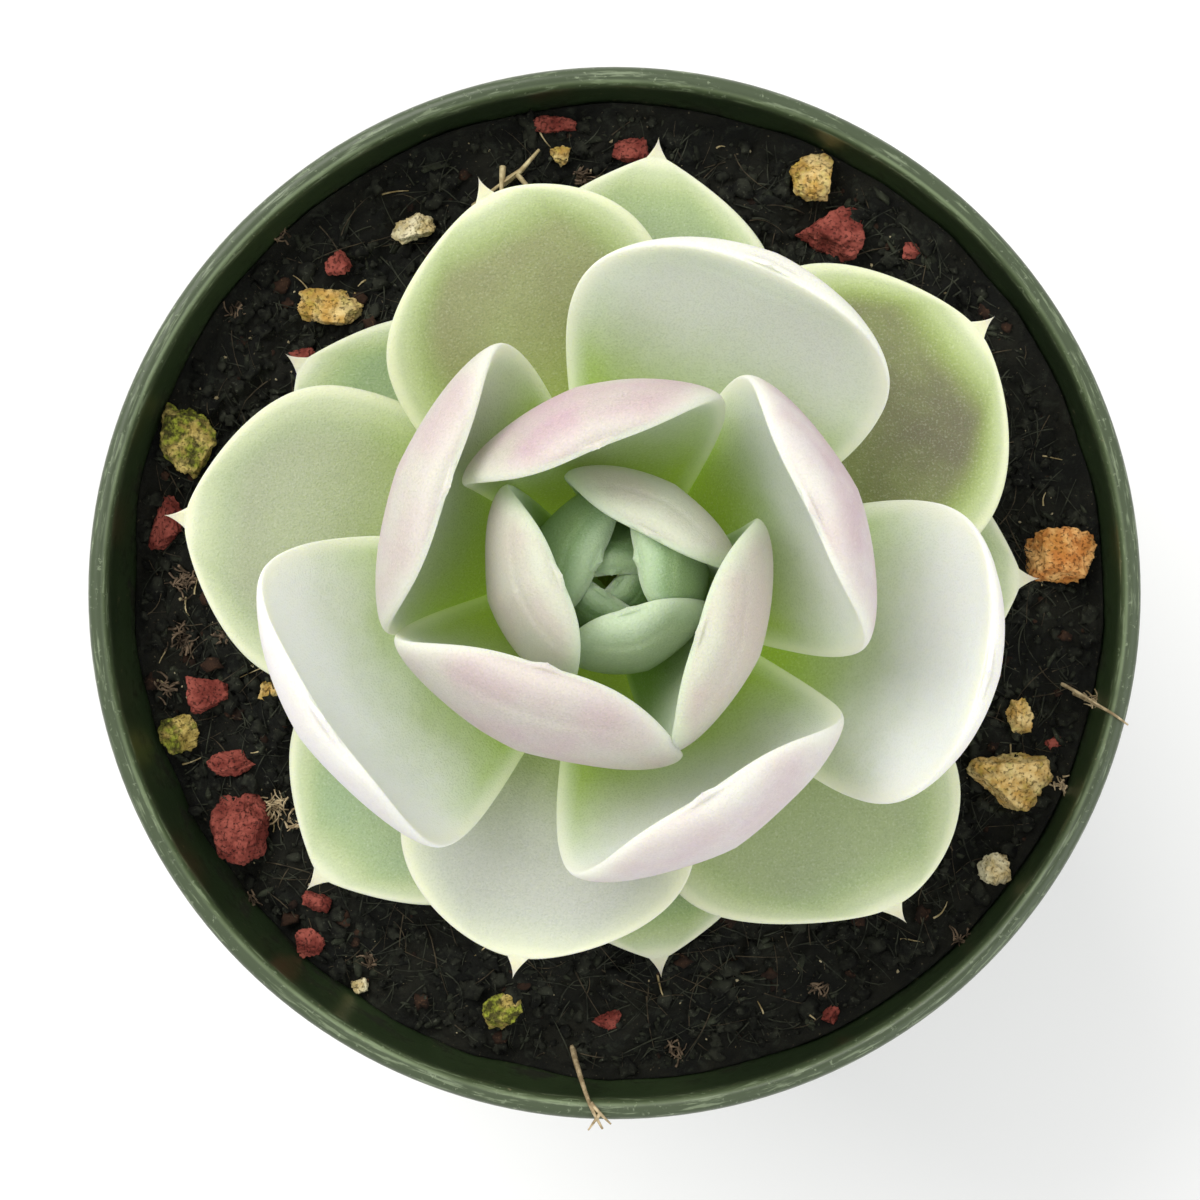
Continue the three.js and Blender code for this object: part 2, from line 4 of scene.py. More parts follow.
import bmesh
import bpy
from mathutils import Matrix, Vector, noise


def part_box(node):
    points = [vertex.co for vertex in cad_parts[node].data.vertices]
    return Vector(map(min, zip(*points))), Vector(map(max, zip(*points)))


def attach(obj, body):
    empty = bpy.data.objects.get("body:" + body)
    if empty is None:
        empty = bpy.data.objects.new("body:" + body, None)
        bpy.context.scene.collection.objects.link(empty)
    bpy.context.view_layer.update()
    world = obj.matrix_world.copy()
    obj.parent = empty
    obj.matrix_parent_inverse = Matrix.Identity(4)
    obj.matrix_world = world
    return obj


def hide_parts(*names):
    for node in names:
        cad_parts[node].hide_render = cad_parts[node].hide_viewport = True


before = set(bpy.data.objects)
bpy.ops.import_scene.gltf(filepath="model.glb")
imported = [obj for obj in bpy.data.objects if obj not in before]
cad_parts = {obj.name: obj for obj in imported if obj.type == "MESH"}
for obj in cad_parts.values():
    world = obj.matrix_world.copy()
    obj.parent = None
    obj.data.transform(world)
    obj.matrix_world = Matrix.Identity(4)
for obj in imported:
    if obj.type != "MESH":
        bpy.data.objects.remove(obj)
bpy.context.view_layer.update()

scene = bpy.context.scene
MM = 0.001


# ---------------------------------------------------------------------------------------------
# The setting: the pot stands on a pale table under a broad soft light. The camera hangs straight
# above the plant and looks down on it.
# ---------------------------------------------------------------------------------------------

def link(name, mesh, material):
    """A mesh put into the scene as a piece of one material."""
    piece = bpy.data.objects.new(name, mesh)
    scene.collection.objects.link(piece)
    piece.data.materials.append(material)
    return piece


def finished(name, bm, material):
    """A new piece from a bmesh, with smooth shading."""
    mesh = bpy.data.meshes.new(name)
    bm.to_mesh(mesh)
    bm.free()
    mesh.shade_smooth()
    return link(name, mesh, material)


def new_material(name, roughness, **constants):
    """A material with its Principled BSDF. The constants are set on the shader's own sockets."""
    material = bpy.data.materials.new(name)
    material.use_nodes = True
    shader = material.node_tree.nodes["Principled BSDF"]
    shader.inputs["Roughness"].default_value = roughness
    for socket, value in constants.items():
        shader.inputs[socket.replace("_", " ")].default_value = value
    return material, material.node_tree, shader


TABLE_SIZE = 4.0
bm = bmesh.new()
bmesh.ops.create_grid(bm, x_segments=1, y_segments=1, size=TABLE_SIZE / 2)
table_material, _, table_shader = new_material("table_white", 0.7)
table_shader.inputs["Base Color"].default_value = (0.93, 0.93, 0.92, 1)
table = finished("table_top", bm, table_material)

rim_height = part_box("pot")[1][2]
rim_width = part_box("pot")[1][0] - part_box("pot")[0][0]
CAMERA_ABOVE_RIM = 0.280
FRAME_SHARE = 0.880  # the pot's width as a share of the frame's
CAMERA_SENSOR = 36
CAMERA_SHIFT = (-0.0121, -0.0058)
camera_data = bpy.data.cameras.new("camera")
camera_data.sensor_width = CAMERA_SENSOR
camera_data.lens = CAMERA_SENSOR * CAMERA_ABOVE_RIM * FRAME_SHARE / rim_width
camera_data.shift_x, camera_data.shift_y = CAMERA_SHIFT
camera = bpy.data.objects.new("camera", camera_data)
camera.location = (0, 0, rim_height + CAMERA_ABOVE_RIM)
scene.collection.objects.link(camera)
scene.camera = camera


def soft_light(name, place, size, power, colour):
    """A square lamp that points at the middle of the pot's mouth."""
    light = bpy.data.lights.new(name, "AREA")
    light.size = size
    light.energy = power
    light.color = colour
    lamp = bpy.data.objects.new(name, light)
    lamp.location = place
    aim = Vector((0, 0, rim_height)) - Vector(place)
    lamp.rotation_euler = aim.to_track_quat("-Z", "Y").to_euler()
    scene.collection.objects.link(lamp)


soft_light("window_light", (-0.45, 0.5, 0.75), 0.7, 6.4, (1.0, 0.985, 0.955))
soft_light("fill_light", (0.6, -0.35, 0.7), 0.8, 2.4, (0.95, 0.98, 1.0))
world = bpy.data.worlds.new("studio")
scene.world = world
world.use_nodes = True
world.node_tree.nodes["Background"].inputs["Color"].default_value = (1.0, 1.0, 1.0, 1)
world.node_tree.nodes["Background"].inputs["Strength"].default_value = 0.82
scene.view_settings.view_transform = "Standard"


# ---------------------------------------------------------------------------------------------
# The pot: one injection-moulded piece of green plastic about a millimetre thick. A rolled bead
# stiffens the mouth, the collar tapers to a step, and the floor stands on a notched foot ring.
# ---------------------------------------------------------------------------------------------

pot_low, pot_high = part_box("pot")
RIM_RADIUS = (pot_high[0] - pot_low[0]) / 2
POT_HEIGHT = pot_high[2]
FOOT_RADIUS = 36 * MM
POT_WALL = 1.1 * MM
LIP_WIDTH = 2.0 * MM
COLLAR_HEIGHT = 17 * MM
COLLAR_TAPER = 2.0 * MM
COLLAR_STEP = 1.2 * MM
COLLAR_SLOPE = 1.2 * MM
FLOOR_LIFT = 3.2 * MM
FLOOR_THICKNESS = 1.4 * MM
FLOOR_TOP = FLOOR_LIFT + FLOOR_THICKNESS
DRAIN_RADIUS = 4 * MM
DRAIN_RING_RADIUS = 21 * MM
DRAIN_COUNT = 4
NOTCH_WIDTH = 7 * MM
POT_STEPS = 192

MOUTH_RADIUS = RIM_RADIUS - LIP_WIDTH
COLLAR_RADIUS = MOUTH_RADIUS - COLLAR_TAPER
BODY_TOP_RADIUS = COLLAR_RADIUS + POT_WALL - COLLAR_STEP
COLLAR_BOTTOM = POT_HEIGHT - COLLAR_HEIGHT


def arc(cx, cz, radius, start, end, steps):
    """Points of an arc in a lathe profile, from one angle in degrees to another."""
    angles = [math.radians(start + (end - start) * i / steps) for i in range(steps + 1)]
    return [(cx + radius * math.cos(a), cz + radius * math.sin(a)) for a in angles]


def spun(profile, steps):
    """A profile of (radius, height) points, from axis to axis, turned into a closed body."""
    bm = bmesh.new()
    verts = [bm.verts.new((radius, 0, height)) for radius, height in profile]
    edges = [bm.edges.new(pair) for pair in zip(verts, verts[1:])]
    bmesh.ops.spin(bm, geom=verts + edges, axis=(0, 0, 1), cent=(0, 0, 0), angle=2 * math.pi,
                   steps=steps, use_merge=True)
    bmesh.ops.remove_doubles(bm, verts=bm.verts, dist=1e-7)
    bmesh.ops.recalc_face_normals(bm, faces=bm.faces)
    return bm


def pot_profile():
    """Half of the pot's section, from the floor's underside up the outside and down the inside."""
    lip = LIP_WIDTH / 2
    round_foot = 0.5 * POT_WALL
    return [
        (0, FLOOR_LIFT),
        (FOOT_RADIUS - 3.4 * POT_WALL, FLOOR_LIFT),
        (FOOT_RADIUS - 3.0 * POT_WALL, FLOOR_LIFT - 0.3 * POT_WALL),
        (FOOT_RADIUS - 2 * POT_WALL, 0.2 * POT_WALL),
        (FOOT_RADIUS - 1.8 * POT_WALL, 0),
        *arc(FOOT_RADIUS - round_foot, round_foot, round_foot, -90, 0, 5),
        (BODY_TOP_RADIUS - 0.1 * MM, COLLAR_BOTTOM - COLLAR_SLOPE - 0.5 * MM),
        (BODY_TOP_RADIUS + 0.05 * MM, COLLAR_BOTTOM - COLLAR_SLOPE),
        (COLLAR_RADIUS + POT_WALL - 0.15 * MM, COLLAR_BOTTOM - 0.1 * MM),
        (COLLAR_RADIUS + POT_WALL, COLLAR_BOTTOM + 0.2 * MM),
        (MOUTH_RADIUS + POT_WALL - 0.25 * MM, POT_HEIGHT - 3.1 * MM),
        (MOUTH_RADIUS + POT_WALL - 0.05 * MM, POT_HEIGHT - 2.5 * MM),
        *arc(RIM_RADIUS - lip, POT_HEIGHT - lip, lip, -40, 180, 22),
        (MOUTH_RADIUS - 0.02 * MM, POT_HEIGHT - 1.6 * MM),
        (COLLAR_RADIUS, COLLAR_BOTTOM),
        (BODY_TOP_RADIUS - POT_WALL, COLLAR_BOTTOM - COLLAR_SLOPE),
        (FOOT_RADIUS - POT_WALL, FLOOR_TOP),
        (0, FLOOR_TOP),
    ]


def inner_radius(height):
    """The pot's inner radius at a height."""
    if height >= COLLAR_BOTTOM:
        up = min(1, (height - COLLAR_BOTTOM) / (COLLAR_HEIGHT - LIP_WIDTH / 2))
        return COLLAR_RADIUS + COLLAR_TAPER * up
    share = max(0, (height - FLOOR_TOP) / (COLLAR_BOTTOM - COLLAR_SLOPE - FLOOR_TOP))
    return FOOT_RADIUS + (BODY_TOP_RADIUS - FOOT_RADIUS) * min(1, share) - POT_WALL


def drain_cutter():
    """The middle hole, the ring of holes round it, and the notch in the foot beside each."""
    bm = bmesh.new()
    centres = [Vector((0, 0, 0))]
    for i in range(DRAIN_COUNT):
        angle = 2 * math.pi * (i + 0.5) / DRAIN_COUNT
        centres.append(Vector((math.cos(angle), math.sin(angle), 0)) * DRAIN_RING_RADIUS)
        turn = Matrix.Rotation(angle, 4, "Z")
        notch = turn @ Matrix.Translation((FOOT_RADIUS, 0, 0))
        size = Matrix.Diagonal((0.8 * FOOT_RADIUS, NOTCH_WIDTH, 1.8 * FLOOR_LIFT, 1))
        bmesh.ops.create_cube(bm, size=1, matrix=notch @ size)
    for centre in centres:
        bmesh.ops.create_cone(bm, cap_ends=True, segments=48, radius1=DRAIN_RADIUS,
                              radius2=DRAIN_RADIUS, depth=3 * FLOOR_TOP,
                              matrix=Matrix.Translation(centre))
    mesh = bpy.data.meshes.new("drain_cutter")
    bm.to_mesh(mesh)
    bm.free()
    tool = bpy.data.objects.new("drain_cutter", mesh)
    scene.collection.objects.link(tool)
    return tool


def cut_by(piece, tool):
    """Cuts a piece and keeps the result as its mesh. The tool is removed."""
    modifier = piece.modifiers.new("cut", "BOOLEAN")
    modifier.object = tool
    modifier.operation = "DIFFERENCE"
    modifier.solver = "EXACT"
    shown = piece.evaluated_get(bpy.context.evaluated_depsgraph_get())
    result = bpy.data.meshes.new_from_object(shown)
    piece.modifiers.clear()
    piece.data = result
    bpy.data.objects.remove(tool)


def srgb(code):
    """A colour written as RRGGBB, as linear light."""
    def linear(v):
        return v / 12.92 if v <= 0.04045 else ((v + 0.055) / 1.055) ** 2.4
    return tuple(linear(int(code[i:i + 2], 16) / 255) for i in (0, 2, 4)) + (1.0,)


def node(tree, kind, **values):
    """A node with its settings and its unlinked inputs, both given by name."""
    made = tree.nodes.new(kind)
    for key, value in values.items():
        if hasattr(made, key):
            setattr(made, key, value)
        else:
            made.inputs[key.replace("_", " ")].default_value = value
    return made


def mixed(tree, factor, below, above, blend="MIX"):
    """The colour that a mix node gives. A string is a colour code; a socket is linked."""
    mix = tree.nodes.new("ShaderNodeMix")
    mix.data_type = "RGBA"
    mix.blend_type = blend
    for socket, value in ((mix.inputs[0], factor), (mix.inputs[6], below), (mix.inputs[7], above)):
        if isinstance(value, str):
            socket.default_value = srgb(value)
        elif isinstance(value, (int, float)):
            socket.default_value = value
        else:
            tree.links.new(value, socket)
    return mix.outputs[2]


def mathed(tree, operation, first, second, clamp=False):
    """The result of a math node on two values. A number is set; a socket is linked."""
    made = tree.nodes.new("ShaderNodeMath")
    made.operation = operation
    made.use_clamp = clamp
    for socket, value in zip(made.inputs, (first, second)):
        if isinstance(value, (int, float)):
            socket.default_value = value
        else:
            tree.links.new(value, socket)
    return made.outputs[0]


def times(tree, first, second):
    return mathed(tree, "MULTIPLY", first, second)


def plus(tree, first, second):
    return mathed(tree, "ADD", first, second)


def ranged(tree, value, low, high, to_low=0.0, to_high=1.0):
    """A smooth step of a value from low to high."""
    made = tree.nodes.new("ShaderNodeMapRange")
    made.interpolation_type = "SMOOTHSTEP"
    tree.links.new(value, made.inputs["Value"])
    if isinstance(low, (int, float)):
        made.inputs["From Min"].default_value = low
    else:
        tree.links.new(low, made.inputs["From Min"])
    made.inputs["From Max"].default_value = high
    made.inputs["To Min"].default_value = to_low
    made.inputs["To Max"].default_value = to_high
    return made.outputs["Result"]


def noised(tree, scale, detail=3.0, roughness=0.55, distortion=0.0):
    """Noise over the piece's own place in metres, so scale is in features to the metre."""
    coordinates = tree.nodes.new("ShaderNodeTexCoord")
    made = tree.nodes.new("ShaderNodeTexNoise")
    made.inputs["Scale"].default_value = scale
    made.inputs["Detail"].default_value = detail
    made.inputs["Roughness"].default_value = roughness
    made.inputs["Distortion"].default_value = distortion
    tree.links.new(coordinates.outputs["Object"], made.inputs["Vector"])
    return made.outputs["Fac"]


def bumped(tree, shader, height, distance, strength=1.0):
    """Small relief on a material: the height's full range is the distance in metres."""
    bump = tree.nodes.new("ShaderNodeBump")
    bump.inputs["Distance"].default_value = distance
    bump.inputs["Strength"].default_value = strength
    tree.links.new(height, bump.inputs["Height"])
    tree.links.new(bump.outputs["Normal"], shader.inputs["Normal"])


pot_plastic, tree, shader = new_material("pot_plastic", 0.38, Specular_IOR_Level=0.45)
coordinates = node(tree, "ShaderNodeTexCoord")
axes = node(tree, "ShaderNodeSeparateXYZ")
tree.links.new(coordinates.outputs["Object"], axes.inputs[0])
near_lip = ranged(tree, axes.outputs["Z"], POT_HEIGHT - 2.2 * MM, POT_HEIGHT - 0.2 * MM)
flat_radius = node(tree, "ShaderNodeVectorMath", operation="MULTIPLY")
flat_radius.inputs[1].default_value = (1, 1, 0)
tree.links.new(coordinates.outputs["Object"], flat_radius.inputs[0])
length = node(tree, "ShaderNodeVectorMath", operation="LENGTH")
tree.links.new(flat_radius.outputs[0], length.inputs[0])
from_axis = length.outputs["Value"]
inside = node(tree, "ShaderNodeAttribute", attribute_name="inside").outputs["Fac"]
clouds = ranged(tree, noised(tree, 55, 4), 0.3, 0.72)
body = mixed(tree, clouds, "27341f", "324126")
# Painted light: the lip is a lighter green than the wall, standing in for light on the top of the
# bead.
lip = mixed(tree, near_lip, body, "434f36")
specks = ranged(tree, noised(tree, 1700, 4, 0.7), 0.6, 0.68)
turn = mathed(tree, "ARCTAN2", axes.outputs["Y"], axes.outputs["X"])
around = times(tree, turn, 0.1 * RIM_RADIUS)
wrapped = node(tree, "ShaderNodeCombineXYZ")
tree.links.new(around, wrapped.inputs["X"])
tree.links.new(from_axis, wrapped.inputs["Y"])
tree.links.new(axes.outputs["Z"], wrapped.inputs["Z"])
brushed = node(tree, "ShaderNodeTexNoise", Scale=2400, Detail=4, Roughness=0.65)
tree.links.new(wrapped.outputs[0], brushed.inputs["Vector"])
streaks = ranged(tree, brushed.outputs["Fac"], 0.53, 0.66)
dust = times(tree, plus(tree, specks, streaks), times(tree, near_lip, 0.42))
dust_and_highlight = mixed(tree, dust, lip, "9aa887")
# A thin pale line on the inner side of the bead, partly dust and partly a painted highlight where the
# bead catches the light.
crest = times(tree, ranged(tree, from_axis, MOUTH_RADIUS + 0.75 * MM, MOUTH_RADIUS + 0.5 * MM),
              ranged(tree, from_axis, MOUTH_RADIUS + 0.2 * MM, MOUTH_RADIUS + 0.45 * MM))
dust_and_highlight_line = times(tree, times(tree, crest, near_lip), ranged(tree, clouds, 0.1, 0.8, 0.2, 0.6))
dust_and_highlight = mixed(tree, dust_and_highlight_line, dust_and_highlight, "8fa07a")
soil_mark = ranged(tree, noised(tree, 330, 5, 0.65), 0.48, 0.64)
low_on_wall = ranged(tree, axes.outputs["Z"], POT_HEIGHT - 2 * MM, POT_HEIGHT - 8 * MM)
smudge = times(tree, times(tree, soil_mark, inside), times(tree, low_on_wall, 0.85))
smudged = mixed(tree, smudge, dust_and_highlight, "1d1d12")
crumb_marks = ranged(tree, noised(tree, 900, 4, 0.7), 0.66, 0.72)
inner_specks = times(tree, times(tree, crumb_marks, inside), 0.55)
coloured = mixed(tree, inner_specks, smudged, "8b8466")
tree.links.new(coloured, shader.inputs["Base Color"])
worn = plus(tree, times(tree, clouds, 0.12), times(tree, smudge, 0.4))
tree.links.new(mathed(tree, "ADD", worn, 0.3, clamp=True), shader.inputs["Roughness"])
bumped(tree, shader, plus(tree, noised(tree, 700, 4), times(tree, specks, 0.5)), 0.06 * MM, 0.6)

pot = finished("nursery_pot", spun(pot_profile(), POT_STEPS), pot_plastic)
cut_by(pot, drain_cutter())
pot.data.shade_smooth()
pot.data.set_sharp_from_angle(angle=math.radians(40))
inside_layer = pot.data.attributes.new("inside", "FLOAT", "POINT")
for vert, value in zip(pot.data.vertices, inside_layer.data):
    within = vert.co.xy.length < inner_radius(vert.co.z) + 0.5 * POT_WALL
    value.value = float(within and vert.co.z > FLOOR_TOP - 0.1 * MM)
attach(pot, "root")
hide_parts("pot")


# ---------------------------------------------------------------------------------------------
# The potting mix: moist peat and fine bark, pressed in by hand. It is heaped against the wall on
# one side and washed into a hollow on the other.
# ---------------------------------------------------------------------------------------------

SOIL_DROP = 7 * MM  # from the lip down to the mean surface
SOIL_LEVEL = POT_HEIGHT - SOIL_DROP
SOIL_BUMP = 0.7 * MM
SOIL_BANK = 1.6 * MM
SOIL_DIP = 4.5 * MM
DIP_HEADING = math.radians(215)
DIP_SPREAD = math.radians(50)
WALL_GAP = 0.1 * MM
SOIL_STEPS = 560
HIDDEN_RADIUS = 27 * MM  # the leaves cover everything nearer to the stem
CLOD_SIZE = 1.0 * MM
CRUMB_SIZE = 0.7 * MM
SETTLED = 0.45 * MM  # brings the mean of clods and crumbs back to the level


def soil_height(x, y):
    """The mean surface of the mix: gentle lumps, the bank and the hollow."""
    across, away = x / MM, y / MM
    lumps = math.sin(0.31 * across + 1.2) * math.cos(0.27 * away - 0.4)
    lumps += 0.5 * math.sin(0.53 * across - 0.47 * away)
    outward = max(0, min(1, (math.hypot(x, y) / MOUTH_RADIUS - 0.7) / 0.3))
    turn = math.atan2(y, x) - DIP_HEADING
    dip = math.exp(-(math.atan2(math.sin(turn), math.cos(turn)) / DIP_SPREAD) ** 2)
    return SOIL_LEVEL + SOIL_BUMP * lumps + outward ** 2 * (SOIL_BANK * (1 - dip) - SOIL_DIP * dip)


def crumbly(point):
    """How far the loose surface stands above its mean, in metres."""
    clods = noise.fractal(point * 210, 0.7, 2.1, 4)
    crumbs = noise.turbulence(point * 900, 3, True)
    return CLOD_SIZE * clods + CRUMB_SIZE * crumbs - SETTLED


edge = inner_radius(SOIL_LEVEL) - WALL_GAP
under = COLLAR_BOTTOM - COLLAR_SLOPE
profile = [(0, FLOOR_TOP + WALL_GAP), (inner_radius(FLOOR_TOP) - WALL_GAP, FLOOR_TOP + WALL_GAP)]
profile += [(inner_radius(under) - WALL_GAP, under), (COLLAR_RADIUS - WALL_GAP, COLLAR_BOTTOM)]
FINE_RINGS = 76
COARSE_RINGS = 14
profile += [(edge - (edge - HIDDEN_RADIUS) * i / FINE_RINGS, SOIL_LEVEL) for i in range(FINE_RINGS)]
profile += [(HIDDEN_RADIUS * (1 - i / COARSE_RINGS), SOIL_LEVEL) for i in range(COARSE_RINGS + 1)]
bm = spun(profile, SOIL_STEPS)
for vert in bm.verts:
    if abs(vert.co.z - SOIL_LEVEL) > 1e-6:
        continue
    height = soil_height(vert.co.x, vert.co.y)
    fit = min(1, (inner_radius(height) - WALL_GAP) / edge)
    vert.co = Vector((vert.co.x * fit, vert.co.y * fit, height))
    from_wall = (edge * fit - vert.co.xy.length) / MM
    vert.co.z += crumbly(vert.co) * (0.35 + 0.65 * min(1, max(0, from_wall)))

potting_mix, tree, shader = new_material("potting_mix", 0.88, Specular_IOR_Level=0.3)
dark_or_brown = ranged(tree, noised(tree, 190, 5, 0.6), 0.35, 0.7)
peat = mixed(tree, dark_or_brown, "0a0c07", "1b1b12")
clod_light = ranged(tree, noised(tree, 620, 5, 0.7, 0.6), 0.52, 0.68)
clodded = mixed(tree, times(tree, clod_light, 0.7), peat, "2c3026")
dry_specks = ranged(tree, noised(tree, 2100, 3, 0.65), 0.66, 0.72)
speckled = mixed(tree, times(tree, dry_specks, 0.75), clodded, "6f6650")
tree.links.new(speckled, shader.inputs["Base Color"])
bumped(tree, shader, noised(tree, 1900, 6, 0.7), 0.35 * MM)

soil = finished("potting_mix", bm, potting_mix)
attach(soil, "root")
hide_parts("soil")


# ---------------------------------------------------------------------------------------------
# The stem: short, pale green and hidden by the leaves, with its brown roots spread in the mix.
# ---------------------------------------------------------------------------------------------

BLACK = (0, 0, 0, 1)
WHITE = (1, 1, 1, 1)


def group(name, inputs, outputs):
    """An empty node group. Each input is (name, kind, value) and each output (name, kind)."""
    tree = bpy.data.node_groups.new(name, "ShaderNodeTree")
    for label, kind, value in inputs:
        socket = tree.interface.new_socket(name=label, in_out="INPUT", socket_type="NodeSocket" + kind)
        socket.default_value = value
    for label, kind in outputs:
        tree.interface.new_socket(name=label, in_out="OUTPUT", socket_type="NodeSocket" + kind)
    given = tree.nodes.new("NodeGroupInput").outputs
    wanted = tree.nodes.new("NodeGroupOutput").inputs
    return tree, given, wanted


def place(tree, group_tree, **values):
    """A node group used in a material, with its unlinked inputs given by name."""
    made = tree.nodes.new("ShaderNodeGroup")
    made.node_tree = group_tree
    for key, value in values.items():
        made.inputs[key.replace("_", " ")].default_value = value
    return made


def make_grain():
    """Fine mottling of a colour at two sizes, and a height for a bump."""
    tree, given, out = group(
        "grain",
        [("Color", "Color", WHITE), ("Coarse", "Float", 0.2), ("Fine", "Float", 0.2),
         ("Dark", "Color", BLACK), ("Light", "Color", WHITE)],
        [("Color", "Color"), ("Height", "Float")],
    )
    coarse = ranged(tree, noised(tree, 260, 4), 0.35, 0.7)
    fine = ranged(tree, noised(tree, 2600, 2), 0.4, 0.68)
    clouded = mixed(tree, times(tree, coarse, given["Coarse"]), given["Color"], given["Light"])
    speckled = mixed(tree, times(tree, fine, given["Fine"]), clouded, given["Dark"])
    tree.links.new(speckled, out["Color"])
    tree.links.new(plus(tree, fine, coarse), out["Height"])
    return tree


grain = make_grain()

stem_skin, tree, shader = new_material("stem_skin", 0.6, Subsurface_Weight=0.15)
coordinates = node(tree, "ShaderNodeTexCoord")
axes = node(tree, "ShaderNodeSeparateXYZ")
tree.links.new(coordinates.outputs["Object"], axes.inputs[0])
above_soil = ranged(tree, axes.outputs["Z"], SOIL_LEVEL - 4 * MM, SOIL_LEVEL + 2 * MM)
skin = mixed(tree, above_soil, "6b4f35", "8aa03f")
mottled = place(tree, grain, Coarse=0.3, Fine=0.3, Dark=srgb("3c3520"), Light=srgb("b9c07a"))
tree.links.new(skin, mottled.inputs["Color"])
tree.links.new(mottled.outputs["Color"], shader.inputs["Base Color"])
bumped(tree, shader, mottled.outputs["Height"], 0.1 * MM)
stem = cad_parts["stem"]
stem.data.materials.clear()
stem.data.materials.append(stem_skin)
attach(stem, "root")


# ---------------------------------------------------------------------------------------------
# The leaves: thick, water-filled and spoon-shaped, each with a small point at its tip. They grow
# from the stem one golden angle after another, the oldest flat and low, the youngest curled in a
# bud. A pale waxy bloom covers them, thickest on the backs of the middle leaves.
# ---------------------------------------------------------------------------------------------

TIP_CLEARANCE = 4 * MM
PLANT_RADIUS = MOUTH_RADIUS - TIP_CLEARANCE
PLANT_PLACE = Vector((-0.2, 1.4, 0)) * MM
STEM_RADIUS = 4 * MM
STEM_TOP_RADIUS = 0.8 * MM
FIRST_LEAF_HEIGHT = SOIL_LEVEL + 0.4 * MM
LEAF_RISE = 0.55 * MM
GOLDEN_ANGLE = 137.5
FIRST_DIRECTION = 277
WIDEST_AT = 0.66
NECK = 0.36
UPPER_SHARE = 0.25
KEEL = 0.25
OUTER_LEAVES = 10
BUD_FROM = 18
INCURVED_FROM = 11
LEAF_SIDES = 72
LEAF_ROWS = 96
SPIKE_ROWS = 14
FLARE = 2.2 * MM  # over which the margins run out into the spike
SPIKE_THICKNESS = 0.56 * MM

# From the oldest leaf to the youngest: turn out of its place in the spiral, length, half width and
# thickness as shares of the plant's radius, slope at the base and at the tip, cup, how pointed the
# end is, bend, and how much further the left side of the end reaches than the right.
# The last four are the leaf's look, from 0 to 1: olive rather than green, grey (a darker middle,
# partly painted shade from the leaves above), frosted, and flushed pink on the back.
LEAVES = [
    (0, 0.745, 0.263, 0.093, 4, 0, 0.1, 0.95, 0, 0, 0.15, 0.1, 0.15, 0.0),
    (6, 0.735, 0.263, 0.093, 5, 0, 0.1, 0.95, 0, 0, 0.15, 0.1, 0.2, 0.0),
    (-2, 0.8, 0.288, 0.093, 6, 2, 0.1, 0.92, 0, 0, 0.3, 0.1, 0.25, 0.0),
    (1, 0.82, 0.288, 0.098, 7, 2, 0.1, 0.9, 0, 0, 0.1, 0.05, 0.3, 0.0),
    (-3, 0.835, 0.288, 0.098, 8, 3, 0.1, 0.95, 0, 0, 0.3, 0.1, 0.25, 0.0),
    (0, 0.855, 0.324, 0.107, 12, 8, 0.12, 0.72, 2, 0.29, 0.5, 0.1, 0.25, 0.1),
    (-1, 0.855, 0.319, 0.107, 14, 8, 0.12, 0.8, 2, 0, 0.65, 0.05, 0.4, 0.1),
    (-4, 0.88, 0.35, 0.111, 15, 8, 0.12, 0.75, 8, 0, 0.8, 1, 0.05, 0.1),
    (-1, 0.78, 0.309, 0.111, 18, 14, 0.12, 0.68, 0, -0.1, 0.6, 0.1, 0.75, 0.9),
    (-11, 0.805, 0.309, 0.111, 20, 14, 0.12, 0.7, 0, -0.2, 0.9, 0.3, 0.15, 0.3),
    (3, 1, 0.314, 0.108, 6, 87, 0.14, 0.52, 2, 0, 0.4, 0.15, 1, 0.4),
    (-1, 0.982, 0.34, 0.097, 22, 110, 0.14, 0.48, 11, 0, 0.4, 0.1, 1, 0.4),
    (-4, 0.869, 0.335, 0.118, 22, 80, 0.14, 0.48, 0, -0.2, 0.4, 0.1, 0.75, 0.4),
    (1, 0.89, 0.318, 0.124, 25, 128, 0.12, 0.46, 12, 0, 0.4, 0.1, 0.85, 0.7),
    (-3, 0.814, 0.312, 0.115, 37, 123, 0.1, 0.46, 12, 0, 0.3, 0.1, 0.6, 0.75),
    (2, 0.854, 0.298, 0.132, 38, 116, 0.1, 0.46, 9, 0, 0.3, 0.1, 0.85, 0.9),
    (-2, 0.773, 0.308, 0.134, 46, 138, 0.08, 0.5, 18, 0, 0.4, 0.1, 0.6, 0.8),
    (-5, 0.784, 0.27, 0.124, 50, 122, 0.12, 0.5, 18, 0, 0.3, 0.1, 0.5, 1.0),
    (4, 0.694, 0.25, 0.131, 53, 123, 0.08, 0.52, 17, 0, 0.3, 0.15, 0.8, 0.8),
    (0, 0.644, 0.21, 0.122, 63, 127, 0.08, 0.52, 18, 0, 0.3, 0.15, 0.8, 0.7),
    (5, 0.571, 0.197, 0.118, 66, 115, 0.08, 0.52, 11, 0, 0.3, 0.15, 0.75, 0.6),
    (24, 0.532, 0.153, 0.108, 66, 125, 0.1, 0.55, -7, 0, 0.15, 0.1, 0.45, 0.1),
    (9, 0.43, 0.16, 0.098, 64, 138, 0.12, 0.5, 15, 0, 0.1, 0.1, 0.3, 0.0),
    (32, 0.52, 0.148, 0.1, 60, 140, 0.14, 0.5, -16, 0, 0.1, 0.1, 0.3, 0.0),
    (19, 0.37, 0.155, 0.08, 70, 125, 0.15, 0.5, 0, 0, 0.1, 0.1, 0.25, 0.0),
    (15, 0.35, 0.13, 0.09, 76, 124, 0.15, 0.5, 0, 0, 0.1, 0.1, 0.2, 0.0),
    (18, 0.32, 0.12, 0.09, 78, 118, 0.15, 0.5, 0, 0, 0.1, 0.1, 0.2, 0.0),
]


